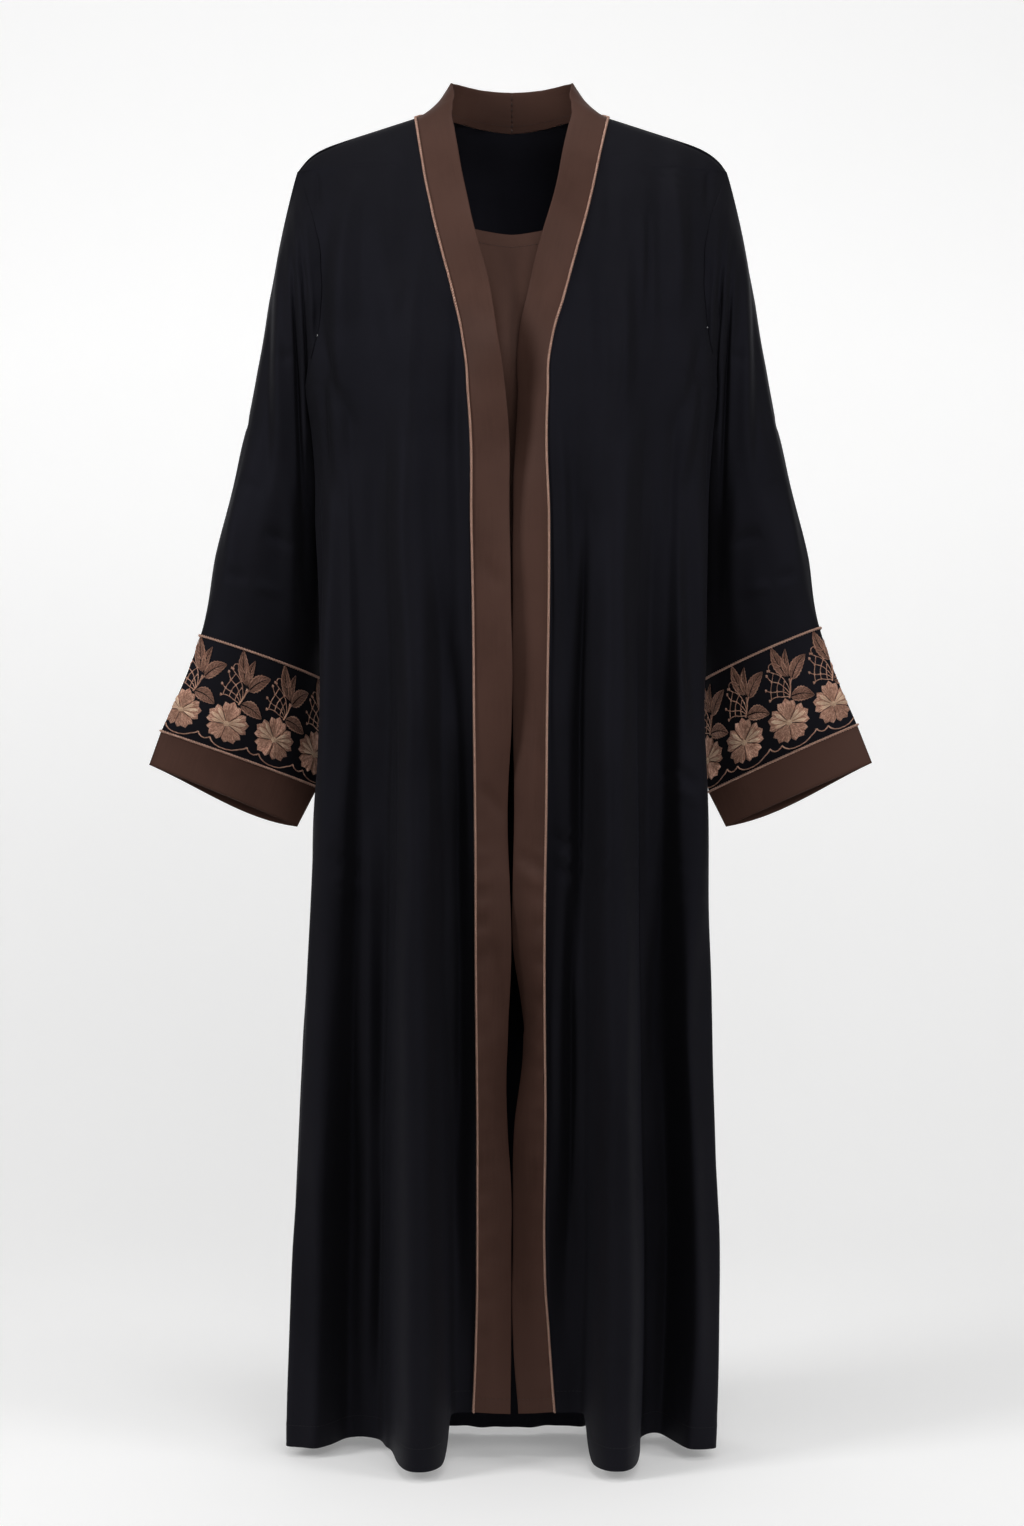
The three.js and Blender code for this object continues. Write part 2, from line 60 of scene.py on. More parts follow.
def curveThrough(keys, values):  # a smooth curve through a short column of sizes
    k = np.array(keys, float)
    v = np.array(values, float)
    step = np.diff(v) / np.diff(k)
    before, after = np.diff(k)[:-1], np.diff(k)[1:]
    slope = np.concatenate([step[:1], (step[:-1] * after + step[1:] * before) / (before + after), step[-1:]])

    def at(x):
        x = np.clip(x, k[0], k[-1])
        i = np.clip(np.searchsorted(k, x, side="right") - 1, 0, len(k) - 2)
        span = k[i + 1] - k[i]
        s = (x - k[i]) / span
        return mix(v[i] + slope[i] * span * s, v[i + 1] - slope[i + 1] * span * (1 - s), smooth(s))

    return at


body = {
    "hemDrop": 1385, "backHemDrop": 1389, "frontEdgeRise": 37,
    # where the raised hem beside the front edge ends, then an arch between two folds: x, half width, height
    "rise": {-1: (66, 80), 1: (76, 90)}, "arch": {-1: (158, 20, 3), 1: (152, 18, 7)},
    "highShoulder": 101, "shoulderTip": 226, "shoulderSlope": 0.31, "tipRounding": 18, "shoulderRoll": 60,
    "underarm": 290, "underarmRow": 236.5, "seamGap": 0.18, "wall": 1.1,
    # drop, half width on the wearer's right and left, depth in front of and behind the side seam
    "sections": [
        (0, 226, 226, 30, 78), (60, 226, 226, 52, 90), (110, 225, 225, 75, 95), (165, 223, 223, 91, 98),
        (225, 220, 220, 102, 97), (290, 216, 216, 108, 94), (340, 210, 211, 108, 92),
        (430, 206, 206, 105, 89),
        (530, 203, 203, 100, 86), (750, 209, 204, 86, 83), (900, 216, 207, 74, 80), (1075, 225, 212, 62, 76),
        (1240, 231, 216, 54, 73), (1400, 235, 209, 48, 72),
    ],
    # drop, distance of the armhole seam from the centre on the fronts and on the back
    "armholes": [
        (57, 226, 226), (90, 213, 217), (125, 203, 210), (165, 199, 207), (205, 200, 207), (245, 206, 210),
        (290, 216, 216),
    ],
}
folds = {
    "start": 290, "creased": 1.9, "early": 0.035, "earlyTop": 110, "outerHalf": 1.35, "outerSwell": 0.5,
    # angle round the body near the top and at the hem, half width, depth at the hem, squareness, side swelling
    "rows": [
        (-30, -22.7, 4.8, 104, 2.4, 23), (-46, -43, 8.5, -25, 8, 0), (-64, -64, 10, 26, 6, 0),
        (30.8, 28.6, 5.3, 104, 2.4, 23), (47, 46, 8, -25, 8, 0), (65, 62, 10, 34, 6, 0),
        (123, 120, 9.5, 36, 6, 0),
        (151, 148, 9, 50, 6, 0), (178, 181, 9, -8, 6, 0), (-153, -150, 9, 54, 6, 0),
        (-127, -123, 10, 42, 6, 0),
    ],
}
# Creases laid in one by one: from X, drop, to X, drop, sideways bow, half width, height (a hollow is negative)
creases = {
    "frontRight": [
        (-115, 600, -116, 930, 2, 3.2, -2.6), (-94, 150, -101, 345, -3, 9, 3.0),
        (-62, 200, -66, 640, 5, 11, -5.5), (-58, 560, -57, 1290, 3, 9, -7),
        (-139, 240, -135, 640, 5, 10, 2.4), (-171, 320, -166, 720, -4, 8, -2.2),
        (-187, 300, -192, 1040, 3, 8, 2.6),
        (-151, 730, -155, 1290, 4, 9, 2.8), (-184, 770, -160, 797, 3, 4.5, -1.5),
        (-180, 801, -165, 815, 2, 4, 1.1),
        (-112, 36, -119, 196, 4, 10, -1.9), (-196, 232, -163, 335, -6, 7, -2.4),
        (-198, 262, -178, 420, -5, 6, -2.0),
        (-160, 60, -170, 230, -5, 11, 1.8), (-205, 52, -203, 112, 1, 4, -1.5),
        (-88, 640, -84, 900, -2, 4, -1.5),
        (-70, 930, -62, 1200, 3, 5, -1.9), (-132, 1080, -140, 1330, -3, 6, -1.8),
        (-205, 700, -212, 1180, -3, 7, -2.0),
    ],
    "frontLeft": [
        (120, 140, 106, 345, 3, 9, 3.1), (140, 105, 136, 255, 2, 5, -2.1),
        (77, 400, 70, 910, -3, 7, -6.5), (60, 780, 58, 1300, 2, 8, -6),
        (50, 320, 53, 650, 2, 8, 2.2), (38, 748, 64, 771, 2, 3.6, -1.5), (42, 778, 60, 800, 2, 3.6, -1.3),
        (158, 683, 185, 703, 3, 4, -1.5), (163, 706, 183, 717, 2, 3.5, 1.1),
        (148, 320, 152, 1010, -5, 9, -2.6),
        (187, 400, 184, 930, 3, 8, 2.6), (128, 620, 134, 1120, 2, 4, -1.8), (100, 40, 112, 200, -4, 10, -1.8),
        (196, 230, 165, 345, 6, 7, -2.4), (199, 262, 176, 410, 5, 6, -2.1), (164, 60, 172, 220, 5, 11, 1.9),
        (205, 52, 202, 110, 1, 4, -1.6), (60, 900, 58, 1180, 2, 5, -2.0), (172, 960, 178, 1340, 4, 7, 2.4),
        (204, 660, 208, 1150, 3, 7, -2.0),
    ],
    "back": [
        (-120, 90, -128, 420, 5, 12, 2.6), (118, 100, 124, 400, -5, 11, 2.4),
        (-60, 140, -66, 520, 4, 14, -2.6),
        (54, 120, 62, 560, -4, 13, -2.4), (-10, 60, -6, 480, 3, 16, 2.0), (-168, 250, -190, 330, 4, 7, -2.3),
        (170, 250, 192, 335, -4, 7, -2.3), (-150, 520, -156, 1060, 5, 8, -2.4),
        (146, 480, 150, 1010, -5, 8, -2.4),
        (-96, 640, -92, 1240, 3, 7, 2.6), (92, 600, 88, 1200, -3, 7, 2.6), (-36, 700, -30, 1280, 4, 8, -2.4),
        (40, 720, 34, 1300, -4, 8, -2.2), (-70, 610, -46, 636, 3, 5, -1.5), (66, 640, 88, 662, 3, 5, -1.5),
        (-178, 700, -184, 1160, 3, 7, 2.2), (180, 720, 186, 1200, -3, 7, 2.2),
    ],
    "sleeveFront": [
        (225, 84, 211, 330, -4, 2.6, -4.2), (232, 100, 219, 420, -2, 2.8, -4.4),
        (243, 90, 244, 360, 2, 6, 3.6),
        (218, 100, 207, 260, -3, 2.6, 1.6), (251, 130, 256, 400, 3, 5, -1.6),
        (262, 170, 262, 420, 4, 12, -1.8), (212, 330, 214, 560, 3, 8, -1.8), (236, 380, 234, 560, -3, 9, 1.8),
        (276, 486, 303, 478, 2, 4, -1.4), (240, 500, 274, 492, 2, 4, 1.2), (228, 452, 262, 436, 3, 5, -1.5),
        (286, 300, 298, 520, 3, 8, 1.6), (222, 250, 250, 262, 3, 5, -1.3), (262, 396, 292, 380, 3, 5, -1.1),
    ],
    "sleeveBack": [
        (224, 90, 214, 320, 4, 5, -2.8), (240, 110, 240, 340, -3, 8, 2.6), (262, 190, 268, 440, -4, 10, -1.8),
        (226, 400, 232, 560, 3, 8, 1.8), (236, 470, 276, 452, 3, 5, -1.6), (250, 330, 284, 316, 3, 5, -1.5),
        (284, 320, 300, 520, -3, 8, 1.6), (222, 280, 250, 296, 3, 5, -1.3),
    ],
}

sections = np.array(body["sections"], float)
wideRight, wideLeft, frontDepth, backDepth = (curveThrough(sections[:, 0], sections[:, k]) for k in range(1, 5))
halfWidth = {-1: wideRight, 1: wideLeft}
armholes = np.array(body["armholes"], float)
armholeX = {panel: curveThrough(armholes[:, 0], armholes[:, k]) for k, panel in ((1, "front"), (2, "back"))}


def creaseHeight(rows, x, drop):  # each crease fades in and out, and widens as it falls
    height = np.zeros(np.broadcast(x, drop).shape)
    for x0, d0, x1, d1, bow, wide, deep in rows:
        length = math.hypot(x1 - x0, d1 - d0)
        along = ((x - x0) * (x1 - x0) + (drop - d0) * (d1 - d0)) / length**2
        aside = ((x - x0) * (d1 - d0) - (drop - d0) * (x1 - x0)) / length
        inside = np.clip(along, 0, 1)
        aside = aside - bow * 4 * inside * (1 - inside)
        fade = np.sin(math.pi * inside) ** 0.8
        height += folds["creased"] * deep * fade * np.exp(-((aside / (wide * (0.75 + 0.5 * inside))) ** 2))
    return height


def undulation(seed, x, drop, height):  # slow, slightly uneven waves that run mostly down the cloth
    draw = np.random.default_rng(seed)
    total = np.zeros(np.broadcast(x, drop).shape)
    for _ in range(7):
        across, down = draw.uniform(26, 70), draw.uniform(260, 900)
        start, lean = draw.uniform(0, 2 * math.pi), draw.uniform(-0.06, 0.06)
        sway = 1.6 * np.sin(2 * math.pi * drop / down)
        total += np.cos(2 * math.pi * ((x + lean * drop) / across) + start + sway)
    return height * total / 3


def foldForm(angle, drop):  # how far the folds push the cloth out, and sideways away from each fold's middle
    opened = np.clip((drop - folds["start"]) / (body["hemDrop"] - folds["start"]), 0, 1)
    rising = smooth((drop - folds["earlyTop"]) / (folds["start"] - folds["earlyTop"]))
    early = folds["early"] * rising * (1 - opened)
    out, aside = 0, 0
    for top, hem, half, deep, square, swell in folds["rows"]:
        away = ((angle - mix(top, hem, opened) + 540) % 360 - 180) / half
        outer = (away * hem > 0) & (swell > 0)
        away = away / np.where(outer, folds["outerHalf"], 1)
        form = np.exp(-(np.abs(away) ** square))
        out = out + deep * (opened + early) * form
        aside = aside + swell * np.where(outer, folds["outerSwell"], 1) * opened * away * form
    return out, aside


def foldHeight(angle, drop):
    return foldForm(angle, drop)[0]


def bodyPoint(angle, drop, fallen, topY, push):
    s, c = np.sin(np.radians(angle)), np.cos(np.radians(angle))
    wide = np.where(s < 0, halfWidth[-1](drop), halfWidth[1](drop))
    deep = np.where(np.abs(angle) <= 90, frontDepth(drop), backDepth(drop))
    out = unit(np.stack([s * np.abs(s) / wide, -c / deep], -1))
    turned = np.sqrt(1 - (1 - np.clip(fallen / body["shoulderRoll"], 0, 1)) ** 2)
    y = mix(topY, -deep * c, turned)
    aside = foldForm(angle, drop)[1]
    x = wide * s + out[..., 0] * push - out[..., 1] * aside
    return np.stack([x, y + out[..., 1] * push + out[..., 0] * aside, -drop + 0 * push], -1)


def sideAngle(drop, panel, side):
    deep = frontDepth(drop) if panel == "front" else backDepth(drop)
    seam = np.degrees(np.arccos(body["seamGap"] / deep))
    share = armholeX[panel](np.maximum(drop, body["armholes"][0][0])) / halfWidth[side](drop)
    above = np.minimum(np.degrees(np.arcsin(np.minimum(share, 1))), seam)
    return np.where(drop >= body["underarm"], seam, above)


def shoulderZ(x):
    out = np.maximum(np.abs(x) - body["highShoulder"], 0)
    reach = body["shoulderTip"] - body["highShoulder"]
    return -body["shoulderSlope"] * out - body["tipRounding"] * (out / reach) ** 11


def respaced(line, count, bendPull=40):  # the same line with even stretches, shorter where it bends
    step = np.diff(line, axis=0)
    size = np.linalg.norm(step, axis=1)
    heading = unit(step)
    bend = np.concatenate([[0], np.arccos(np.clip((heading[1:] * heading[:-1]).sum(1), -1, 1))])
    reach = np.concatenate([[0], np.cumsum(size + bendPull * bend)])
    at = np.linspace(0, reach[-1], count + 1)
    return np.stack([np.interp(at, reach, line[:, n]) for n in range(3)], -1)


def gridNormals(grid, turn, around=False):
    down = np.gradient(grid, axis=0, edge_order=2)
    if around:
        along = np.roll(grid, -1, axis=1) - np.roll(grid, 1, axis=1)
    else:
        along = np.gradient(grid, axis=1, edge_order=2)
    return unit(np.cross(down, along) * turn)


def rowLengths(grid):
    return np.linalg.norm(np.diff(grid, axis=1), axis=2).sum(1)


def link(obj):
    bpy.context.collection.objects.link(obj)
    return obj


def meshFrom(name, points, faces, material, uv=None):
    mesh = bpy.data.meshes.new(name)
    quads = faces.tolist() if isinstance(faces, np.ndarray) else faces
    mesh.from_pydata((np.asarray(points).reshape(-1, 3) * mm).tolist(), [], quads)
    mesh.shade_smooth()
    if uv is not None:
        layer = mesh.uv_layers.new(name="cloth")
        layer.data.foreach_set("uv", np.asarray(uv, float).ravel())
    mesh.materials.append(material)
    return link(bpy.data.objects.new(name, mesh))


def gridFaces(rows, columns, turn, around=False):
    i, j = np.meshgrid(np.arange(rows - 1), np.arange(columns if around else columns - 1), indexing="ij")
    i, j = i.ravel(), j.ravel()
    corners = [(i, j), (i + 1, j), (i + 1, j + 1), (i, j + 1)]
    if turn < 0:
        corners.reverse()
    return np.stack([a * columns + b % columns for a, b in corners], -1), corners


def clothPiece(name, grid, material, turn, wall, around=False):
    rows, columns = grid.shape[:2]
    faces, corners = gridFaces(rows, columns, turn, around)
    closed = np.concatenate([grid, grid[:, :1]], 1) if around else grid
    across = np.linalg.norm(np.diff(closed, axis=1), axis=2)
    u = np.concatenate([np.zeros((rows, 1)), np.cumsum(across, 1)], 1)
    v = np.concatenate([[0], np.cumsum(np.linalg.norm(np.diff(grid, axis=0), axis=2).mean(1))])
    uv = np.stack([np.stack([u[a, b], -v[a]], -1) for a, b in corners], 1) * mm
    piece = meshFrom(name, grid, faces, material, uv)
    sharpenRims(piece.data)
    if wall:
        shell = piece.modifiers.new("clothWall", "SOLIDIFY")
        shell.thickness = wall * mm
        shell.offset = -1
    return piece


def sharpenRims(mesh):
    bm = bmesh.new()
    bm.from_mesh(mesh)
    for edge in bm.edges:
        if edge.is_boundary:
            edge.smooth = False
    bm.to_mesh(mesh)
    bm.free()


def flatCut(grid, around=False):  # width, length and area of a piece laid flat, in metres
    closed = np.concatenate([grid, grid[:, :1]], 1) if around else grid
    lengths = np.linalg.norm(np.diff(grid, axis=0), axis=2).sum(0)
    d1, d2 = closed[1:, 1:] - closed[:-1, :-1], closed[1:, :-1] - closed[:-1, 1:]
    area = 0.5 * np.linalg.norm(np.cross(d1, d2), axis=2).sum() * mm * mm
    width, length = rowLengths(closed).max() * mm, lengths.max() * mm
    return (round(width, 3) + 0.001, round(length, 3) + 0.001), round(area, 4)


def declare(piece, node, grid=None, around=False):
    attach(piece, "root")
    if node:
        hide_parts(node)
    if grid is not None:
        flat, area = flatCut(grid, around)
        print(piece.name, "cut", flat, "area", area)


# Finishes
def buildGroup(name, inputs, outputs):
    tree = bpy.data.node_groups.new(name, "ShaderNodeTree")
    for label, kind, value in inputs:
        socket = tree.interface.new_socket(label, in_out="INPUT", socket_type=kind)
        if value is not None:
            socket.default_value = value
    for label, kind in outputs:
        tree.interface.new_socket(label, in_out="OUTPUT", socket_type=kind)
    return tree, tree.nodes.new("NodeGroupInput").outputs, tree.nodes.new("NodeGroupOutput").inputs


def feed(tree, node, links):
    for key, value in links.items():
        if isinstance(value, bpy.types.NodeSocket):
            tree.links.new(value, node.inputs[key])
        else:
            node.inputs[key].default_value = value


def addNode(tree, kind, links=None, **values):
    node = tree.nodes.new(kind)
    for key, value in values.items():
        setattr(node, key, value)
    feed(tree, node, links or {})
    return node


def calculate(tree, operation, a, b=0.0, c=0.0):
    return addNode(tree, "ShaderNodeMath", {0: a, 1: b, 2: c}, operation=operation).outputs[0]


def blendColors(tree, share, a, b):
    node = addNode(tree, "ShaderNodeMix", {0: share, 6: a, 7: b}, data_type="RGBA")
    return node.outputs[2]


def crepeGroup():  # pebbled face of a crepe over a fine plain weave
    tree, given, out = buildGroup("crepeFace", [
        ("Place", "NodeSocketVector", None), ("Threads", "NodeSocketFloat", 900.0),
        ("Pebble", "NodeSocketFloat", 0.6),
    ], [("Height", "NodeSocketFloat"), ("Shade", "NodeSocketFloat")])
    parts = addNode(tree, "ShaderNodeSeparateXYZ", {0: given["Place"]}).outputs
    turn = calculate(tree, "MULTIPLY", given["Threads"], 2 * math.pi)
    warp = calculate(tree, "SINE", calculate(tree, "MULTIPLY", parts[0], turn))
    weft = calculate(tree, "SINE", calculate(tree, "MULTIPLY", parts[1], turn))
    weave = calculate(tree, "MULTIPLY_ADD", calculate(tree, "MULTIPLY", warp, weft), 0.25, 0.5)
    pebbles = addNode(tree, "ShaderNodeTexNoise", {
        "Vector": given["Place"], "Scale": 1150.0, "Detail": 2.0, "Roughness": 0.6}).outputs["Fac"]
    slubs = addNode(tree, "ShaderNodeTexNoise", {
        "Vector": addNode(tree, "ShaderNodeVectorMath", {0: given["Place"], 1: (420.0, 24.0, 24.0)},
                          operation="MULTIPLY").outputs[0],
        "Scale": 1.0, "Detail": 2.0}).outputs["Fac"]
    height = addNode(tree, "ShaderNodeMix", {0: given["Pebble"], 2: weave, 3: pebbles}).outputs[0]
    tree.links.new(calculate(tree, "MULTIPLY_ADD", slubs, 0.35, height), out["Height"])
    tree.links.new(calculate(tree, "MULTIPLY_ADD", slubs, 0.5, pebbles), out["Shade"])
    return tree


def dyeAndGlintGroup():  # slow unevenness of a dyed cloth; with fine patches on the threads the same mottling is a speckle of painted glints
    tree, given, out = buildGroup("dyeAndGlintSpeckle", [
        ("Color", "NodeSocketColor", (0.5, 0.5, 0.5, 1)), ("Deeper", "NodeSocketColor", (0.4, 0.4, 0.4, 1)),
        ("Place", "NodeSocketVector", None), ("Patches", "NodeSocketFloat", 9.0),
        ("Grain", "NodeSocketFloat", 0.5),
    ], [("Color", "NodeSocketColor")])
    cloud = addNode(tree, "ShaderNodeTexNoise", {
        "Vector": given["Place"], "Scale": given["Patches"], "Detail": 4.0, "Roughness": 0.55}).outputs["Fac"]
    share = calculate(tree, "MULTIPLY_ADD", calculate(tree, "SUBTRACT", given["Grain"], 0.5), 0.5, cloud)
    share = addNode(tree, "ShaderNodeMapRange", {0: share, 1: 0.38, 2: 0.68}).outputs[0]
    tree.links.new(blendColors(tree, share, given["Deeper"], given["Color"]), out["Color"])
    return tree


def stitchGroup():  # threads laid side by side along V, each with its own shade
    tree, given, out = buildGroup("laidThreads", [
        ("Place", "NodeSocketVector", None), ("Threads", "NodeSocketFloat", 2400.0),
        ("Length", "NodeSocketFloat", 260.0),
    ], [("Height", "NodeSocketFloat"), ("Shade", "NodeSocketFloat")])
    parts = addNode(tree, "ShaderNodeSeparateXYZ", {0: given["Place"]}).outputs
    lane = calculate(tree, "MULTIPLY", parts[0], given["Threads"])
    number = calculate(tree, "FLOOR", lane)
    run = calculate(tree, "MULTIPLY", parts[1], given["Length"])
    run = calculate(tree, "MULTIPLY_ADD", number, 0.37, run)
    ridge = calculate(tree, "SINE", calculate(tree, "MULTIPLY", calculate(tree, "FRACT", lane), math.pi))
    stitch = calculate(tree, "SINE", calculate(tree, "MULTIPLY", calculate(tree, "FRACT", run), math.pi))
    stitch = calculate(tree, "POWER", stitch, 0.35)
    spot = addNode(tree, "ShaderNodeCombineXYZ", {0: number, 1: calculate(tree, "FLOOR", run)}).outputs[0]
    shade = addNode(tree, "ShaderNodeTexWhiteNoise", {"Vector": spot}, noise_dimensions="2D").outputs["Value"]
    tree.links.new(calculate(tree, "MULTIPLY", ridge, stitch), out["Height"])
    tree.links.new(shade, out["Shade"])
    return tree


groups = {"crepe": crepeGroup(), "dyeAndGlint": dyeAndGlintGroup(), "stitch": stitchGroup()}


def useGroup(tree, group, links):
    node = tree.nodes.new("ShaderNodeGroup")
    node.node_tree = groups[group]
    feed(tree, node, links)
    return node.outputs


def newFinish(name, look):
    material = bpy.data.materials.new(name)
    material.use_nodes = True
    tree = material.node_tree
    shader = tree.nodes["Principled BSDF"]
    for key, value in look.items():
        shader.inputs[key].default_value = value
    return material, tree, shader


def dyeAndGlintColor(tree, settings, place, grain):
    return useGroup(tree, "dyeAndGlint", {
        "Color": settings["color"], "Deeper": settings["deeper"], "Place": place,
        "Patches": settings["patches"], "Grain": grain})["Color"]


def clothFinish(name, settings):
    material, tree, shader = newFinish(name, settings["look"])
    uv = addNode(tree, "ShaderNodeUVMap", uv_map="cloth").outputs[0]
    place = addNode(tree, "ShaderNodeTexCoord").outputs["Object"]
    face = useGroup(tree, "crepe", {
        "Place": uv, "Threads": settings["threads"], "Pebble": settings["pebble"]})
    color = dyeAndGlintColor(tree, settings, place, face["Shade"])
    tree.links.new(color, shader.inputs["Base Color"])
    rough = addNode(tree, "ShaderNodeMapRange", {
        0: face["Shade"], 1: 0.4, 2: 1.0, 3: settings["roughness"] - 0.06, 4: settings["roughness"] + 0.06})
    tree.links.new(rough.outputs[0], shader.inputs["Roughness"])
    bump = addNode(tree, "ShaderNodeBump", {
        "Height": face["Height"], "Strength": settings["bump"], "Distance": 0.00035})
    tree.links.new(bump.outputs[0], shader.inputs["Normal"])
    return material


def threadFinish(name, settings):
    material, tree, shader = newFinish(name, settings["look"])
    uv = addNode(tree, "ShaderNodeUVMap", uv_map="cloth").outputs[0]
    place = addNode(tree, "ShaderNodeTexCoord").outputs["Object"]
    laid = useGroup(tree, "stitch", {
        "Place": uv, "Threads": settings["threads"], "Length": settings["length"]})
    # on the threads the fine patches and per-stitch tones make a speckle of painted glints over the thread's
    # own tone
    color = dyeAndGlintColor(tree, settings, place, laid["Shade"])
    # darker where the laid threads dip between lanes and stitches: painted shade in the grooves
    color = blendColors(tree, calculate(tree, "POWER", laid["Height"], 0.6), settings["gap"], color)
    tree.links.new(color, shader.inputs["Base Color"])
    rough = addNode(tree, "ShaderNodeMapRange", {
        0: laid["Shade"], 3: settings["roughness"] - 0.08, 4: settings["roughness"] + 0.1})
    tree.links.new(rough.outputs[0], shader.inputs["Roughness"])
    bump = addNode(tree, "ShaderNodeBump", {
        "Height": laid["Height"], "Strength": settings["bump"], "Distance": 0.0004})
    tree.links.new(bump.outputs[0], shader.inputs["Normal"])
    return material


blackCrepe = clothFinish("blackCrepe", {
    "color": (0.0074, 0.0071, 0.0081, 1), "deeper": (0.0055, 0.0053, 0.0057, 1), "patches": 7.0,
    "threads": 1500.0, "pebble": 0.6, "roughness": 0.62, "bump": 0.25,
    "look": {"Sheen Weight": 0.014, "Sheen Roughness": 0.45, "Sheen Tint": (0.64, 0.64, 0.92, 1),
             "Specular IOR Level": 0.1, "Specular Tint": (0.54, 0.55, 0.9, 1)}})
brownSatin = clothFinish("brownSatin", {
    "color": (0.078, 0.0395, 0.030, 1), "deeper": (0.060, 0.030, 0.0225, 1), "patches": 11.0,
    "threads": 1300.0, "pebble": 0.45, "roughness": 0.52, "bump": 0.3,
    "look": {"Sheen Weight": 0.01, "Sheen Roughness": 0.45, "Sheen Tint": (1.0, 0.8, 0.72, 1),
             "Specular IOR Level": 0.06}})
# Threads and cord: fine patches between colour and deeper give painted glints; gap is painted shade between the
# threads
copperCord = threadFinish("copperCord", {
    "color": (0.82, 0.55, 0.44, 1), "deeper": (0.62, 0.38, 0.29, 1), "gap": (0.34, 0.17, 0.12, 1),
    "patches": 400.0, "threads": 2600.0, "length": 140.0, "roughness": 0.36, "bump": 0.6,
    "look": {"Metallic": 0.5, "Specular IOR Level": 0.5}})
roseThread = threadFinish("roseThread", {
    "color": (0.95, 0.60, 0.44, 1), "deeper": (0.42, 0.20, 0.135, 1), "gap": (0.36, 0.17, 0.115, 1),
    "patches": 520.0, "threads": 2100.0, "length": 330.0, "roughness": 0.36, "bump": 0.9,
    "look": {"Metallic": 0.55, "Specular IOR Level": 0.5}})
copperThread = threadFinish("copperThread", {
    "color": (0.60, 0.33, 0.235, 1), "deeper": (0.22, 0.105, 0.07, 1), "gap": (0.12, 0.055, 0.04, 1),
    "patches": 520.0, "threads": 1900.0, "length": 330.0, "roughness": 0.38, "bump": 0.9,
    "look": {"Metallic": 0.5, "Specular IOR Level": 0.5}})
creamThread = threadFinish("creamThread", {
    "color": (1.0, 0.83, 0.62, 1), "deeper": (0.82, 0.54, 0.37, 1), "gap": (0.58, 0.34, 0.23, 1),
    "patches": 420.0, "threads": 2100.0, "length": 150.0, "roughness": 0.34, "bump": 0.9,
    "look": {"Metallic": 0.55, "Specular IOR Level": 0.5}})
brownThread = threadFinish("brownThread", {
    "color": (0.060, 0.032, 0.026, 1), "deeper": (0.045, 0.024, 0.019, 1), "gap": (0.02, 0.011, 0.009, 1),
    "patches": 60.0, "threads": 2600.0, "length": 400.0, "roughness": 0.5, "bump": 0.4, "look": {}})
blackThread = threadFinish("blackThread", {
    "color": (0.008, 0.008, 0.010, 1), "deeper": (0.006, 0.006, 0.007, 1), "gap": (0.003, 0.003, 0.003, 1),
    "patches": 60.0, "threads": 2600.0, "length": 400.0, "roughness": 0.5, "bump": 0.4, "look": {}})
print("finishes mixed")


# Fronts and back
panels = {"frontColumns": 130, "backColumns": 150, "finely": 420, "unevenness": 2.2, "flatEdge": 6.3,
          "hemTurn": 24, "hemStep": 0.5, "stitchInset": 3, "stitchRadius": 0.15}
rowDrops = np.concatenate([np.linspace(0, 60, 16)[:-1], np.linspace(60, body["underarmRow"], 32)[:-1],
                           np.linspace(body["underarmRow"], 1348, 150)])
frontEdges = np.array([  # drop, band seam from the centre on the right and left, the band's roll on each
    (0, 101, 101, 0, 0), (45, 94, 91, 0, 0), (105, 83, 78, 0, 0), (155, 71, 65, 0, 10),
    (205, 58.5, 52, 0, 20),
    (250, 49, 40, 0, 30), (300, 44.5, 36.5, 0, 32), (430, 41, 37.5, 0, 18), (640, 38.5, 35.5, 4, 22),
    (725, 37.8, 35, 29, 30), (865, 37.2, 33.3, 14, 30), (955, 36.8, 33.8, 30, 54), (1060, 36, 34.4, 34, 32),
    (1118, 36, 33.8, 20, 28), (1180, 36, 33.6, 20, 29), (1262, 37, 37.6, 15, 12),
    (1348, 40, 44, 0, 12)], float)
seamX = {side: curveThrough(frontEdges[:, 0], frontEdges[:, k]) for side, k in ((-1, 1), (1, 2))}
bandRoll = {side: curveThrough(frontEdges[:, 0], frontEdges[:, k]) for side, k in ((-1, 3), (1, 4))}
collar = np.array([  # neck seam, then the collar's free edge, from the shoulder seam to the centre back
    (101, 0, 0, 62.5, -9, 17), (91, 19, 6, 63, 7, 35), (77, 41, 9, 61, 27, 42.5), (54, 62, 7, 45, 46, 43),
    (28, 73, 3, 24, 60, 42.5), (0, 77, 0, 0, 65, 42)], float)
neckY = curveThrough(collar[::-1, 0], collar[::-1, 1])
neckZ = curveThrough(collar[::-1, 0], collar[::-1, 2])


def panelPush(rows, seed, angle, drop, x, hemDrop):
    atSeam = smooth(np.abs(np.abs(angle) - 90) / 9)
    loose = creaseHeight(rows, x, drop) + smooth(drop / 120) * undulation(seed, x, drop, panels["unevenness"])
    push = foldHeight(angle, drop) + atSeam * loose
    aboveHem = hemDrop - drop
    return push - panels["hemStep"] * smooth((aboveHem - panels["hemTurn"]) / 1.5)


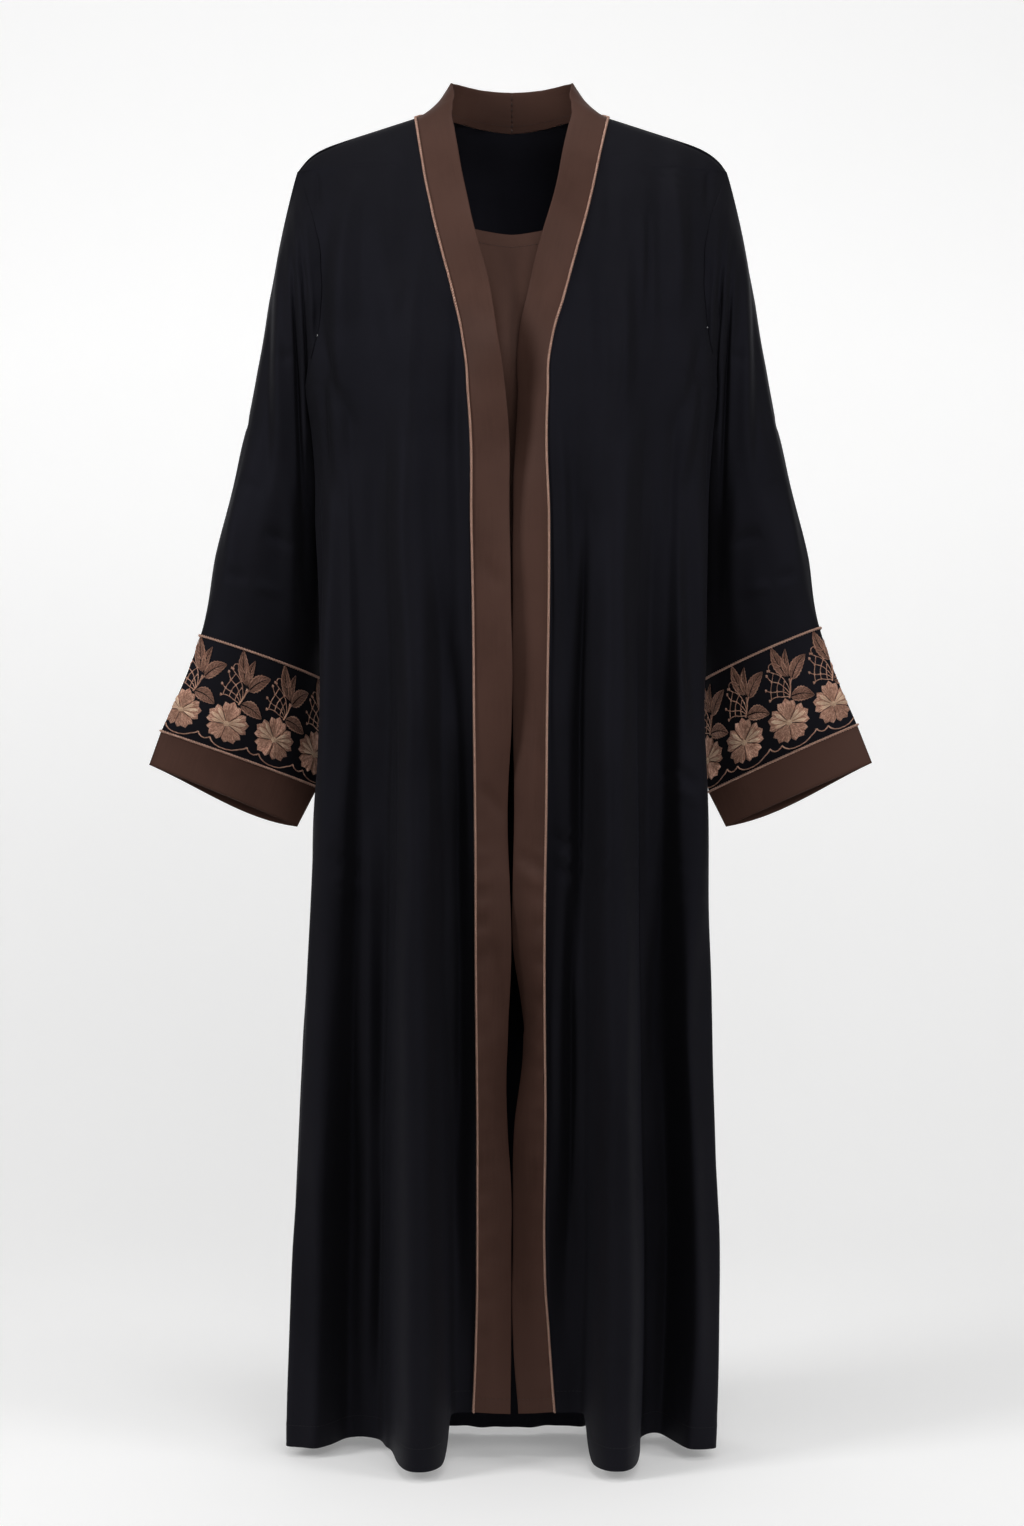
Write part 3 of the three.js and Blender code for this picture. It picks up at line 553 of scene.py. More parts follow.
def frontGrid(side):
    def seamAngle(drop):
        return np.degrees(np.arcsin(seamX[side](drop) / halfWidth[side](drop)))

    t = (rowDrops / (body["hemDrop"] - body["frontEdgeRise"]))[:, None]
    q = np.linspace(0, 1, panels["finely"])[None, :]
    topX = halfWidth[side](0) * np.sin(np.radians(mix(seamAngle(0), 90, q)))
    hemX = halfWidth[side](body["hemDrop"]) * np.sin(np.radians(mix(seamAngle(body["hemDrop"]), 90, q)))
    riseFrom, riseTo = body["rise"][side]
    archAt, archHalf, archHeight = body["arch"][side]
    rise = body["frontEdgeRise"] * (1 - smooth((hemX - riseFrom) / (riseTo - riseFrom)))
    rise = rise + archHeight * np.exp(-(((hemX - archAt) / archHalf) ** 2))
    topDrop = -shoulderZ(topX)
    drop = mix(topDrop, body["hemDrop"] - rise, t)
    angle = side * mix(seamAngle(drop), sideAngle(drop, "front", side), q)
    x = halfWidth[side](drop) * np.sin(np.radians(angle))
    rows = creases["frontLeft" if side > 0 else "frontRight"]
    push = panelPush(rows, 11 + side, angle, drop, x, body["hemDrop"] - rise)
    push = mix(foldHeight(angle, drop), push, smooth(q * panels["finely"] / panels["flatEdge"]))
    grid = bodyPoint(angle, drop, drop - topDrop, -body["seamGap"], push)
    return np.stack([respaced(line, panels["frontColumns"]) for line in grid])


def backGrid():
    neckEnd = np.degrees(np.arcsin(body["highShoulder"] / halfWidth[1](0))) / 90
    q = np.linspace(-1, 1, 2 * panels["finely"] + 1)[None, :]
    t = (rowDrops / (body["hemDrop"] - body["frontEdgeRise"]))[:, None]
    x = halfWidth[1](0) * np.sin(np.radians(90 * np.abs(q)))
    onNeck = np.abs(q) <= neckEnd
    topDrop = np.where(onNeck, body["seamGap"] - neckZ(x), -shoulderZ(x))
    topY = np.where(onNeck, np.maximum(neckY(x), body["seamGap"]), body["seamGap"])
    drop = mix(topDrop, body["backHemDrop"], t)
    low = np.maximum(drop, 0)
    reach = np.where(q < 0, sideAngle(low, "back", -1), sideAngle(low, "back", 1)) * np.abs(q)
    angle = np.where(q < 0, -1, 1) * (180 - reach)
    across = np.where(q < 0, halfWidth[-1](drop), halfWidth[1](drop)) * np.sin(np.radians(angle))
    push = panelPush(creases["back"], 23, angle, drop, across, body["backHemDrop"])
    grid = bodyPoint(angle, drop, drop - topDrop, topY, push)
    return np.stack([respaced(line, panels["backColumns"]) for line in grid])


def seamNormals(grid, turn):  # cloth meets squarely at the shoulder and side seams
    normals = gridNormals(grid, turn)
    onSeam = np.abs(grid[..., 1]) < 2 * body["seamGap"]
    normals[onSeam, 1] = 0
    return unit(normals)


back = backGrid()
backNormals = seamNormals(back, -1)
fronts = {name: frontGrid(side) for name, side in sides.items()}
frontNormals = {name: seamNormals(fronts[name], side) for name, side in sides.items()}
print("fronts and back draped")


# Trim cords, stitches
def tube(line, reference, radius, count, around=False, twist=0.0):
    if around:
        along = np.roll(line, -1, 0) - np.roll(line, 1, 0)
    else:
        along = np.gradient(line, axis=0)
    along = unit(along)
    out = unit(reference - along * (reference * along).sum(-1, keepdims=True))
    across = np.cross(along, out)
    angle = np.linspace(0, 2 * math.pi, count, endpoint=False)[None, :, None] + twist
    return line[:, None] + radius * (out[:, None] * np.cos(angle) + across[:, None] * np.sin(angle))


def tubeFaces(rings, count, start, around):
    i, k = np.meshgrid(np.arange(rings if around else rings - 1), np.arange(count), indexing="ij")
    i, k = i.ravel(), k.ravel()
    corners = [(i, k), (i, k + 1), (i + 1, k + 1), (i + 1, k)]
    return np.stack([start + (a % rings) * count + b % count for a, b in corners], -1), corners


cord = {"strands": 2, "strandRadius": 1.05, "offset": 0.75, "under": 0.42, "pitch": 6.0, "step": 0.75,
        "count": 6, "sunk": 1.0, "slant": 0.35}


def twistedCord(name, line, normals, around=False):
    closed = np.concatenate([line, line[:1]]) if around else line
    facing = np.concatenate([normals, normals[:1]]) if around else normals
    reach = np.concatenate([[0], np.cumsum(np.linalg.norm(np.diff(closed, axis=0), axis=1))])
    steps = int(reach[-1] / cord["step"])
    at = np.linspace(0, reach[-1], steps + (0 if around else 1), endpoint=not around)
    core = np.stack([np.interp(at, reach, closed[:, n]) for n in range(3)], -1)
    out = unit(np.stack([np.interp(at, reach, facing[:, n]) for n in range(3)], -1))
    along = unit(np.roll(core, -1, 0) - np.roll(core, 1, 0) if around else np.gradient(core, axis=0))
    out = unit(out - along * (out * along).sum(-1, keepdims=True))
    across = np.cross(along, out)
    core = core + out * (cord["offset"] + cord["strandRadius"] - cord["sunk"])
    turns = round(reach[-1] / cord["pitch"])
    print(name, "length", round(reach[-1] * mm, 3))
    points, faces, uv = [], [], []
    for strand in range(cord["strands"]):
        phase = (2 * math.pi * (at / reach[-1] * turns + strand / cord["strands"]))[:, None]
        lay = out * np.cos(phase) + across * np.sin(phase)
        onTop = mix(cord["under"], 1, (0.5 + 0.5 * np.cos(phase)) ** 0.8)[..., None]
        rings = tube(core + cord["offset"] * lay, lay, cord["strandRadius"] * onTop, cord["count"], around)
        quads, corners = tubeFaces(len(at), cord["count"], sum(len(p) for p in points), around)
        points.append(rings.reshape(-1, 3))
        faces.extend(quads.tolist())
        girth = 2 * math.pi * cord["strandRadius"] / cord["count"]
        run = [(a * cord["step"], b * girth) for a, b in corners]
        uv.append(np.stack([np.stack([b + a * cord["slant"], a], -1) for a, b in run], 1))
        if not around:
            first, last = strand * len(at) * cord["count"], ((strand + 1) * len(at) - 1) * cord["count"]
            faces.append([first + k for k in reversed(range(cord["count"]))])
            faces.append([last + k for k in range(cord["count"])])
            uv.append(np.zeros((1, cord["count"] * 2, 2)))
    flatUv = np.concatenate([u.reshape(-1, 2) for u in uv]) * mm
    return meshFrom(name, np.concatenate(points), faces, copperCord, flatUv)


stitching = {"length": 2.6, "gap": 1.3, "radius": 0.24, "count": 5, "sunk": 0.05}


def stitchRow(line, normals, span=None, radius=None):  # points and faces of one row of stitches
    span = span or stitching["length"]
    radius = radius or stitching["radius"]
    reach = np.concatenate([[0], np.cumsum(np.linalg.norm(np.diff(line, axis=0), axis=1))])
    number = max(int(reach[-1] / (span + stitching["gap"])), 1)
    start = np.linspace(0, reach[-1] - span, number)
    shape = [(0.0, -0.9, 0.35), (0.12, 0.1, 0.85), (0.5, 0.35, 1.0), (0.88, 0.1, 0.85), (1.0, -0.9, 0.35)]
    points, faces = [], []
    for s in start:
        at = s + span * np.array([p[0] for p in shape])
        core = np.stack([np.interp(at, reach, line[:, n]) for n in range(3)], -1)
        out = unit(np.stack([np.interp(at, reach, normals[:, n]) for n in range(3)], -1))
        core = core + out * (np.array([p[1] for p in shape]) * radius - stitching["sunk"] + 0.12)[:, None]
        along = unit(core[-1] - core[0])[None]
        flatOut = unit(out - along * (out * along).sum(-1, keepdims=True))
        across = np.cross(along, flatOut)
        angle = np.linspace(0, 2 * math.pi, stitching["count"], endpoint=False)[None, :, None]
        size = (np.array([p[2] for p in shape]) * radius)[:, None, None]
        base = len(points) * len(shape) * stitching["count"]
        ring = flatOut[:, None] * np.cos(angle) + across[:, None] * np.sin(angle)
        points.append(core[:, None] + size * ring)
        quads, _ = tubeFaces(len(shape), stitching["count"], base, False)
        faces.extend(quads.tolist())
        last = base + (len(shape) - 1) * stitching["count"]
        faces.append([base + k for k in reversed(range(stitching["count"]))])
        faces.append([last + k for k in range(stitching["count"])])
    return np.concatenate([p.reshape(-1, 3) for p in points]), faces


def stitchPiece(name, rows, material):
    points, faces = [], []
    for row in rows:
        more, quads = stitchRow(*row)
        start = sum(len(p) for p in points)
        points.append(more)
        faces.extend([[start + k for k in quad] for quad in quads])
    points = np.concatenate(points)
    corner = np.array([k for quad in faces for k in quad])
    return meshFrom(name, points, faces, material, points[corner][:, [0, 2]] * mm)


def hemLine(grid, normals, above):  # a line at a height above the last row
    gaps = np.linalg.norm(np.diff(grid[-14:], axis=0), axis=2)[::-1].cumsum(0).mean(1)
    i = len(grid) - 1 - (np.searchsorted(gaps, above) + 1)
    return grid[i], normals[i]


def sewPanel(name, stitchName, node, grid, normals, turn):  # a panel with the stitches of its hem
    piece = clothPiece(name, grid, blackCrepe, turn, body["wall"])
    line, out = hemLine(grid, normals, panels["hemTurn"] - panels["stitchInset"])
    stitches = stitchPiece(stitchName, [(line, out, None, panels["stitchRadius"])], blackThread)
    declare(stitches, None)
    declare(piece, node, grid)


for name, side in sides.items():
    names = (f"front{name.title()}", f"frontHemStitches{name.title()}", f"front_{name}")
    sewPanel(*names, fronts[name], frontNormals[name], side)
sewPanel("backPanel", "backHemStitches", "back", back, backNormals, -1)

# Folded bands up the front edges and round the neck
band = {"width": 38.5, "thick": 2.2, "wall": 0.7, "leaf": 12, "turn": 6, "puckerFrom": 700, "pucker": 4.2,
        "puckerEvery": 31, "puckerDrift": 47, "puckerFade": 61, "puckerSharp": 0.5,
        "endTaper": 3.0, "hemStitch": 10,
        # drops at which the lie of the band is set
        "heldAt": (1348, 1262, 1180, 1118, 1060, 955, 865, 800, 725, 640, 510, 400, 300, body["underarmRow"],
                   195, 150, 105, 60, 24, 8)}
bandCreases = {
    -1: [(-36, 700, -8, 735, 3, 6, -1.5), (-34, 1010, -14, 1042, 3, 6, 1.3), (-30, 470, -6, 500, -3, 8, -0.9),
         (-22, 840, -20, 960, 3, 7, -1.2), (-30, 1170, -8, 1196, 3, 6, -1.2),
         (-20, 1230, -24, 1340, 2, 8, 1.2)],
    1: [(3, 772, 34, 788, 2, 5, -1.8), (3, 790, 30, 800, 2, 5, 1.3), (30, 905, 10, 960, 3, 6, -1.4),
        (26, 1090, 8, 1128, 3, 6, -1.4), (24, 640, 22, 760, -3, 7, 1.2), (34, 1210, 14, 1236, 3, 6, 1.2)],
}
collarRows = 40


def seamPath(side, name):
    front, facing = fronts[name], frontNormals[name]
    below = front[::-1, 0][:-1]
    belowOut = facing[::-1, 0][:-1]
    n = np.linspace(0, 5, collarRows)
    curves = [curveThrough(range(6), collar[:, k]) for k in range(6)]
    seam = np.stack([c(n) for c in curves[:3]], -1)
    seam[:, 0] = side * np.maximum(seam[:, 0], body["seamGap"])
    neck = back[0]
    neckOut = unit(np.stack([np.interp(seam[:, 0], neck[:, 0], backNormals[0, :, k]) for k in range(3)], -1))
    return np.concatenate([below, seam]), np.concatenate([belowOut, neckOut]), len(below)


def bandGrid(side, name):
    path, bodyOut, fromCollar = seamPath(side, name)
    reach = np.concatenate([[0], np.cumsum(np.linalg.norm(np.diff(path, axis=0), axis=1))])
    tangent = unit(np.gradient(path, reach, axis=0))
    keys, vectors = [], []
    for drop in band["heldAt"]:
        i = int(np.argmin(np.abs(path[:fromCollar, 2] + drop)))
        facing = unit(mix(bodyOut[i], np.array([0, -1, 0]), smooth((drop - 250) / 150)))
        inward = unit(np.cross(tangent[i], facing))
        inward = inward if inward[0] * side < 0 else -inward
        roll = math.radians(bandRoll[side](drop))
        vector = band["width"] * (inward * math.cos(roll) - facing * math.sin(roll))
        if side * (path[i] + vector)[0] < 0.4:
            vector[0] = side * 0.4 - path[i][0]
        keys.append(reach[i])
        vectors.append(vector)
    for n in range(6):
        i = fromCollar + int(round(n * (collarRows - 1) / 5))
        seam, edge = collar[n, :3] * (side, 1, 1), collar[n, 3:] * (side, 1, 1)
        edge[0] = side * max(abs(edge[0]), body["seamGap"])
        keys.append(reach[i])
        vectors.append(edge - path[i])
    across = np.stack([curveThrough(keys, np.array(vectors)[:, k])(reach) for k in range(3)], -1)
    wide = np.linalg.norm(across, axis=1)
    inward = unit(across)
    out = unit(np.cross(tangent, inward))
    out = out * np.sign((out * bodyOut).sum(-1, keepdims=True))
    half = band["thick"] / 2
    leaf = np.linspace(0, 1, band["leaf"])
    bend = np.linspace(math.pi / 2, -math.pi / 2, band["turn"] + 1)[1:-1]
    ends = np.minimum(reach, reach[-1] - reach + 8)
    half = half * (0.25 + 0.75 * smooth(ends / band["endTaper"]))[:, None]
    start = 0.5 + 2 * half * np.clip(-(out * bodyOut).sum(-1, keepdims=True) + 1, 0, 1)
    lay = (wide[:, None] - half - start) * leaf[None, :] + start
    w = np.concatenate([lay, wide[:, None] - half + half * np.cos(bend)[None], lay[:, ::-1]], 1)
    d = np.concatenate([0 * lay, -half + half * np.sin(bend)[None], 0 * lay - 2 * half], 1)
    place = path[:, None] + inward[:, None] * w[..., None]
    low = smooth((-path[:, 2] - band["puckerFrom"]) / 120)[:, None]
    share = w / wide[:, None]
    turn = 2 * math.pi * reach / band["puckerEvery"] + 2.3 * np.sin(reach / band["puckerDrift"])
    turn = turn[:, None] + side * 1.6 * share
    strength = (0.7 + 0.3 * np.sin(reach / band["puckerFade"] + side))[:, None]
    wave = (0.35 - np.exp(-((np.sin(turn / 2) / band["puckerSharp"]) ** 2))) * strength
    swell = band["pucker"] * wave * np.exp(-((share - 0.05) / 0.38) ** 2) * (0.1 + 0.9 * low)
    swell = swell + undulation(41 + side, place[..., 0] * 0.6, reach[:, None], 0.35) * smooth(share * 3)
    swell = swell + creaseHeight(bandCreases[side], place[..., 0], -path[:, None, 2])
    crown = 0.25 * np.sin(np.pi * np.clip(share, 0, 1)) * np.sign(d + half)
    return place + out[:, None] * (d + swell + crown)[..., None], out, path, bodyOut


collarEnd = slice(-34, None)  # rows of the stitch line along the collar's inside
seamShadeThread = {"span": 3.6, "radius": 0.35, "lift": 0.75}
for name, side in sides.items():
    grid, out, path, bodyOut = bandGrid(side, name)
    piece = clothPiece(f"band{name.title()}", grid, brownSatin, side, band["wall"])
    normals = gridNormals(grid, side)
    last = band["leaf"]
    lines = [hemLine(grid[::-1, 1:last], normals[::-1, 1:last], band["hemStitch"])]
    lines.append((grid[collarEnd, -3], normals[collarEnd, -3]))
    # The collar's centre-back seam is stitched in black thread, darker than the band stitches: a real seam with
    # painted shade for its groove.
    if side > 0:
        seam, seamOut = grid[-1, last + band["turn"] :], normals[-3, last + band["turn"] :]
        seamRow = (seam + seamShadeThread["lift"] * seamOut, seamOut, seamShadeThread["span"], seamShadeThread["radius"])
        declare(stitchPiece("collarSeamAndShade", [seamRow], blackThread), None)
    stitches = stitchPiece(f"bandStitches{name.title()}", lines, brownThread)
    declare(stitches, None)
    declare(piece, f"band_{name}", grid)
    between = unit(bodyOut + out)
    declare(twistedCord(f"frontCord{name.title()}", path, between), f"front_cord_{name}")
print("bands folded")

# Inner panel across the chest
innerPanel = {"top": 134, "bottom": 605, "scoop": 51, "inset": 22, "fallsAway": 26, "sideInset": 12,
              "sideAngle": 4.5, "rows": 70, "columns": 80, "hem": 14, "wall": 1.1}
innerCreases = [(-30, 175, -22, 330, 4, 9, -1.6), (26, 180, 20, 340, -4, 9, 1.4),
                (0, 160, 3, 400, 2, 10, -1.2), (-14, 200, -12, 300, 1, 5, 1.0), (60, 160, 50, 420, 4, 12, 1.8),
                (-66, 160, -58, 430, -4, 12, 1.8)]


def innerPanelGrid():
    q = np.linspace(-1, 1, innerPanel["columns"] + 1)[None, :]
    t = np.linspace(0, 1, innerPanel["rows"] + 1)[:, None]
    scoop = innerPanel["scoop"] * np.abs(np.sin(np.radians(90 * q))) ** 1.5
    drop = mix(innerPanel["top"] - scoop, innerPanel["bottom"], t)
    angle = np.where(q < 0, sideAngle(drop, "front", -1), sideAngle(drop, "front", 1))
    angle = (angle - innerPanel["sideAngle"]) * q
    inset = innerPanel["inset"] + innerPanel["fallsAway"] * smooth((drop - 235) / 150)
    inset = mix(innerPanel["sideInset"], inset, np.cos(np.radians(90 * q)) ** 2)
    x = np.where(q < 0, halfWidth[-1](drop), halfWidth[1](drop)) * np.sin(np.radians(angle))
    calm = smooth((1 - np.abs(q)) * 4)
    push = np.minimum(foldHeight(angle, drop), 0) - inset
    push = push + calm * (creaseHeight(innerCreases, x, drop) + undulation(57, x, drop, 0.4))
    below = drop - (innerPanel["top"] - scoop)
    push = push + 0.45 * (1 - smooth((below - innerPanel["hem"]) / 1.2)) * calm
    return bodyPoint(angle, drop, drop + shoulderZ(x), 0, push)


grid = innerPanelGrid()
normals = gridNormals(grid, 1)
panelPiece = clothPiece("innerPanel", grid, brownSatin, 1, innerPanel["wall"])
line, out = hemLine(grid[::-1], normals[::-1], innerPanel["hem"] - 2)
panelStitches = stitchPiece("innerPanelStitches", [(line, out)], brownThread)
declare(panelStitches, None)
declare(panelPiece, "inner_panel", grid)
print("inner panel hung")

# Sleeves and cuffs
sleeve = {
    "columns": 208, "rows": 108, "gap": 0.02, "formedAt": 2, "upperCord": 6, "cuffSeam": 7, "cuffHem": 8,
    "wall": 1.1, "seamDip": 0.8, "dipReach": 0.05, "offBody": -1.5, "softly": 0.004, "againstFrom": 246,
    "calmFrom": 5.7, "calmBy": 6.0, "facingFrom": 3.2, "unevenness": 0.5,
    # outer edge x, y, z, inner edge x, y, z, half thickness, a row for each station from armhole to cuff hem
    "stations": [
        (226, 2, -57, 216, 2, -290, 42), (241, 4, -112, 216, 14, -306, 46), (253, 8, -182, 209, 40, -334, 48),
        (265, 12, -255, 204, 56, -382, 50), (285, 18, -355, 202, 67, -446, 49),
        (312, 24, -455, 199, 76, -520, 47),
        (330, 28, -542, 200, 80, -590, 42), (372, 32, -643, 209, 66, -703, 22),
        (385, 33, -679, 230, 55, -745, 13),
    ],
    # the left sleeve's last stations lie a little steeper: station, outer x, z, inner x, z
    "leftLie": [(6, -4, 8, 0, -3), (7, -6, 6.5, 2, -5), (8, -3, 2, -1, 0)],
    "pointedFrom": 5.2, "pointedBy": 7.2,
}
cuff = {"ease": 0.3, "height": 38, "seamGap": 0.4, "thick": 1.8, "wall": 0.7, "rows": 16, "turn": 5,
        "reach": 0.96, "backDrop": 0.12}
stations = {side: np.array(sleeve["stations"], float) for side in sides.values()}
for station, *lie in sleeve["leftLie"]:
    stations[1][station, [0, 2, 3, 5]] += lie
stationCurves = {
    side: [curveThrough(range(len(rows)), rows[:, k]) for k in range(7)] for side, rows in stations.items()}
underarmRow = int(np.argmin(np.abs(rowDrops - body["underarmRow"])))


def armholeLoop(side, name):
    down = fronts[name][: underarmRow + 1, -1]
    up = back[: underarmRow + 1, -1 if side > 0 else 0][::-1]
    half = sleeve["columns"] // 2
    loop = np.concatenate([respaced(down, half, 0)[:-1], respaced(up, half, 0)])
    loop[:, 0] = np.abs(loop[:, 0]) + sleeve["gap"]
    return loop


def clearOfBody(side, point, at):  # where the sleeve hangs against the body it lies on the cloth there
    drop = -point[..., 2]
    deep = np.where(point[..., 1] < 0, frontDepth(drop), backDepth(drop))
    x, y = point[..., 0] / halfWidth[side](drop), point[..., 1] / deep
    reach = np.hypot(x, y)
    fold = foldHeight(side * np.degrees(np.arctan2(x, -y)), drop)
    short = 1 + (fold + sleeve["offBody"]) / halfWidth[side](drop) - reach
    lift = (short + np.sqrt(short**2 + sleeve["softly"] ** 2)) / 2
    grow = 1 + smooth((drop - sleeve["againstFrom"]) / 40) * smooth(at / 0.6) * lift / reach
    return point * np.stack([grow, grow, 1 + 0 * grow], -1)


def sleevePoint(side, loop, turn, at, out=0.0):
    def edges(a):  # a smooth run down to the cuff's seam, then straight
        last = stations[side][sleeve["cuffHem"], :6] - stations[side][sleeve["cuffSeam"], :6]
        places = np.stack([curve(np.minimum(a, sleeve["cuffSeam"])) for curve in stationCurves[side][:6]], -1)
        places = places + np.maximum(a - sleeve["cuffSeam"], 0)[..., None] * last
        return places[..., :3], places[..., 3:]

    outer, inner = edges(at)
    formedAt = np.maximum(at, sleeve["facingFrom"])
    above, below = edges(formedAt - 0.1), edges(formedAt + 0.1)
    settled = unit(edges(formedAt)[0] - edges(formedAt)[1])
    across = outer - inner
    reach = np.linalg.norm(across, axis=-1, keepdims=True) / 2 + np.asarray(out)[..., None]
    across = unit(across)
    front = unit(np.cross(below[0] + below[1] - above[0] - above[1], settled))
    front = mix(np.array([0, -1, 0]), front, smooth(at / sleeve["facingFrom"])[..., None])
    front = unit(front - across * (front * across).sum(-1, keepdims=True))
    c, s = np.cos(np.radians(turn))[..., None], np.sin(np.radians(turn))[..., None]
    half = stationCurves[side][6](at)[..., None] + np.asarray(out)[..., None]
    pointed = smooth((at - sleeve["pointedFrom"]) / (sleeve["pointedBy"] - sleeve["pointedFrom"]))[..., None]
    thin = s * np.abs(s) ** pointed
    formed = (outer + inner) / 2 + across * reach * c + front * half * thin
    turns = np.linspace(0, 360, len(loop))
    hole = np.stack([np.interp(turn % 360, turns, loop[:, n]) for n in range(3)], -1)
    point = mix(hole, formed, smooth(at / sleeve["formedAt"])[..., None])
    calm = 1 - smooth((at - sleeve["calmFrom"]) / (sleeve["calmBy"] - sleeve["calmFrom"]))
    calm = calm * smooth(at / 0.35)
    faced = np.sin(np.radians(turn))
    height = creaseHeight(creases["sleeveFront"], point[..., 0], -point[..., 2]) * smooth(faced * 3)
    height = height + creaseHeight(creases["sleeveBack"], point[..., 0], -point[..., 2]) * smooth(-faced * 3)
    height = height + undulation(71 + side, turn * 1.1, at * 95, sleeve["unevenness"])
    point = point + unit(point - (outer + inner) / 2) * (height * calm)[..., None]
    dip = sleeve["seamDip"] * faced**2 * np.exp(-((at / sleeve["dipReach"]) ** 2))
    inward = unit((outer + inner) / 2 - point) * dip[..., None]
    return (clearOfBody(side, point, at) + inward) * np.array([side, 1, 1])


def evenStations(side, first, last, count):
    at = np.linspace(first, last, 600)
    outer = np.stack([stationCurves[side][k](at) + stationCurves[side][k + 3](at) for k in range(3)], -1) / 2
    reach = np.concatenate([[0], np.cumsum(np.linalg.norm(np.diff(outer, axis=0), axis=1))])
    return np.interp(np.linspace(0, reach[-1], count + 1), reach, at)


sleevePieces, loops = {}, {}
turns = np.arange(sleeve["columns"]) * 360 / sleeve["columns"]
for name, side in sides.items():
    loops[name] = armholeLoop(side, name)
    at = evenStations(side, 0, sleeve["cuffSeam"], sleeve["rows"])
    turnGrid, atGrid = np.meshgrid(turns, at)
    grid = sleevePoint(side, loops[name], turnGrid, atGrid)
    piece = clothPiece(f"sleeve{name.title()}", grid, blackCrepe, -side, sleeve["wall"], around=True)
    sleevePieces[name] = (piece, grid)

    seamAt = sleeve["cuffSeam"] + cuff["seamGap"] / cuff["height"]
    leaf = evenStations(side, seamAt, sleeve["cuffHem"], cuff["rows"])
    half = cuff["thick"] / 2
    rollAngle = np.linspace(0, math.pi, cuff["turn"] + 2)[1:-1]
    insideLeaf = leaf[::-1][: int(cuff["rows"] * cuff["reach"])]
    down = np.concatenate([leaf, sleeve["cuffHem"] + 0 * rollAngle, insideLeaf])
    inset = np.concatenate([0 * leaf, -half + half * np.cos(rollAngle), 0 * insideLeaf - 2 * half])
    turnGrid, atGrid = np.meshgrid(turns, down)
    behind = np.maximum(-np.sin(np.radians(turnGrid)), 0) ** 2 * (1 - np.cos(np.radians(turnGrid)))
    atGrid = atGrid + cuff["backDrop"] * behind * (atGrid - sleeve["cuffSeam"])
    insetGrid = np.repeat(inset[:, None], len(turns), 1) + cuff["ease"]
    swell = 0.35 * undulation(83 + side, turnGrid * 1.2, atGrid * 38, 0.5)
    grid = sleevePoint(side, loops[name], turnGrid, atGrid, insetGrid + swell)
    cuffPiece = clothPiece(f"cuff{name.title()}", grid, brownSatin, -side, cuff["wall"], around=True)
    declare(cuffPiece, f"cuff_{name}", grid, around=True)
    fine = np.arange(0, 360, 1.0)
    for place, station in (("upper", sleeve["upperCord"]), ("lower", sleeve["cuffSeam"])):
        near = (station - 0.05, station, station + 0.05)
        rings = np.stack([sleevePoint(side, loops[name], fine, at + 0 * fine) for at in near])
        ringOut = gridNormals(rings, -side, around=True)[1]
        ringCord = twistedCord(f"{place}Cord{name.title()}", rings[1], ringOut, around=True)
        declare(ringCord, f"{place}_cord_{name}")
print("sleeves and cuffs set in")

# Embroidery between the sleeve cords: a border of blossoms, leaves and twigs over a scalloped line
border = {
    "repeats": 7, "height": 109, "blossomUp": 35, "lift": 0.15, "sunk": 0.35, "puff": 0.95, "core": 2.6,
    "lineWidth": 1.5, "stemWidth": 1.9, "twigWidth": 0.8, "fittedAt": 6.5,
    # cream strokes over two petals of each blossom: cream thread, and a painted highlight where the petals
    # shine
    "creamHighlight": [(-23, 0.82), (1, 0.9), (22, 0.74)], "creamHighlightHalf": 9, "creamHighlightLift": 0.4,
    "phase": {"right": 0.20, "left": 0.31}, "lean": {"right": -0.125, "left": 0.125}, "leanFrom": 40,
    # petals: heading in degrees, half angle, length, lobes, thread
    "petals": [
        (84, 37, 23.5, 3, "rose"), (156, 37, 23.5, 3, "cream"), (228, 37, 23, 3, "rose"),
        (300, 37, 23.5, 3, "rose"),
        (12, 37, 24, 3, "cream"),
    ],
    # leaves: base across and up from the blossom's centre, heading, length, half width
    "leaves": [
        (10.5, 41, 110, 34, 6.6), (12, 40, 84, 26, 4.6), (14.5, 37, 38, 27, 7.4), (9.5, 22.5, -16, 25.5, 7.2),
    ],
    # stems and twigs: points across and up from the blossom's centre
    "stems": [[(7, 21.5), (9.5, 27), (11.5, 33), (12, 38)], [(11.5, 33), (13, 35.5), (15, 37.5)]],
    "twigs": [
        [(8, 24), (3, 28.5), (-4, 31), (-11, 33), (-16, 36)], [(8.5, 26), (4, 33), (-2, 38.5), (-8, 42),
         (-12, 48)],
        [(9.5, 28), (7.5, 36), (3, 43), (-4, 48), (-10, 52)], [(7, 23), (0, 25), (-7, 27), (-14, 26)],
        [(-12, 26.5), (-11, 33), (-8, 40), (-4, 48)], [(-5, 26), (-4, 32), (-1, 38), (4, 43)],
        [(2, 25), (3, 31), (6, 37)], [(5.5, 51), (0, 55), (-5, 57), (-8, 55), (-8, 52)],
    ],
    "knots": [
        (-16, 36, 1.3), (-12, 48, 1.4), (-10, 52, 1.2), (-14, 26, 1.4), (-11, 33, 0.9), (-8, 41, 1.0),
        (-4, 31.5, 1.0),
        (-1, 38, 1.1), (4, 43, 1.0), (3, 30, 0.9), (6, 37, 0.9), (-8, 51.5, 1.2),
    ],
    # scalloped line: share of a repeat from the blossom's centre and height above the lower cord
    "scallop": [
        [(-0.5, 16.5), (-0.44, 12.2), (-0.38, 10.8), (-0.31, 11.6), (-0.25, 14.2)],
        [(-0.25, 14.2), (-0.17, 8.6), (-0.08, 6.0), (0.04, 5.0), (0.16, 5.6), (0.28, 8.0), (0.37, 11.2),
         (0.44, 13.2),
         (0.5, 16.5)],
    ],
}


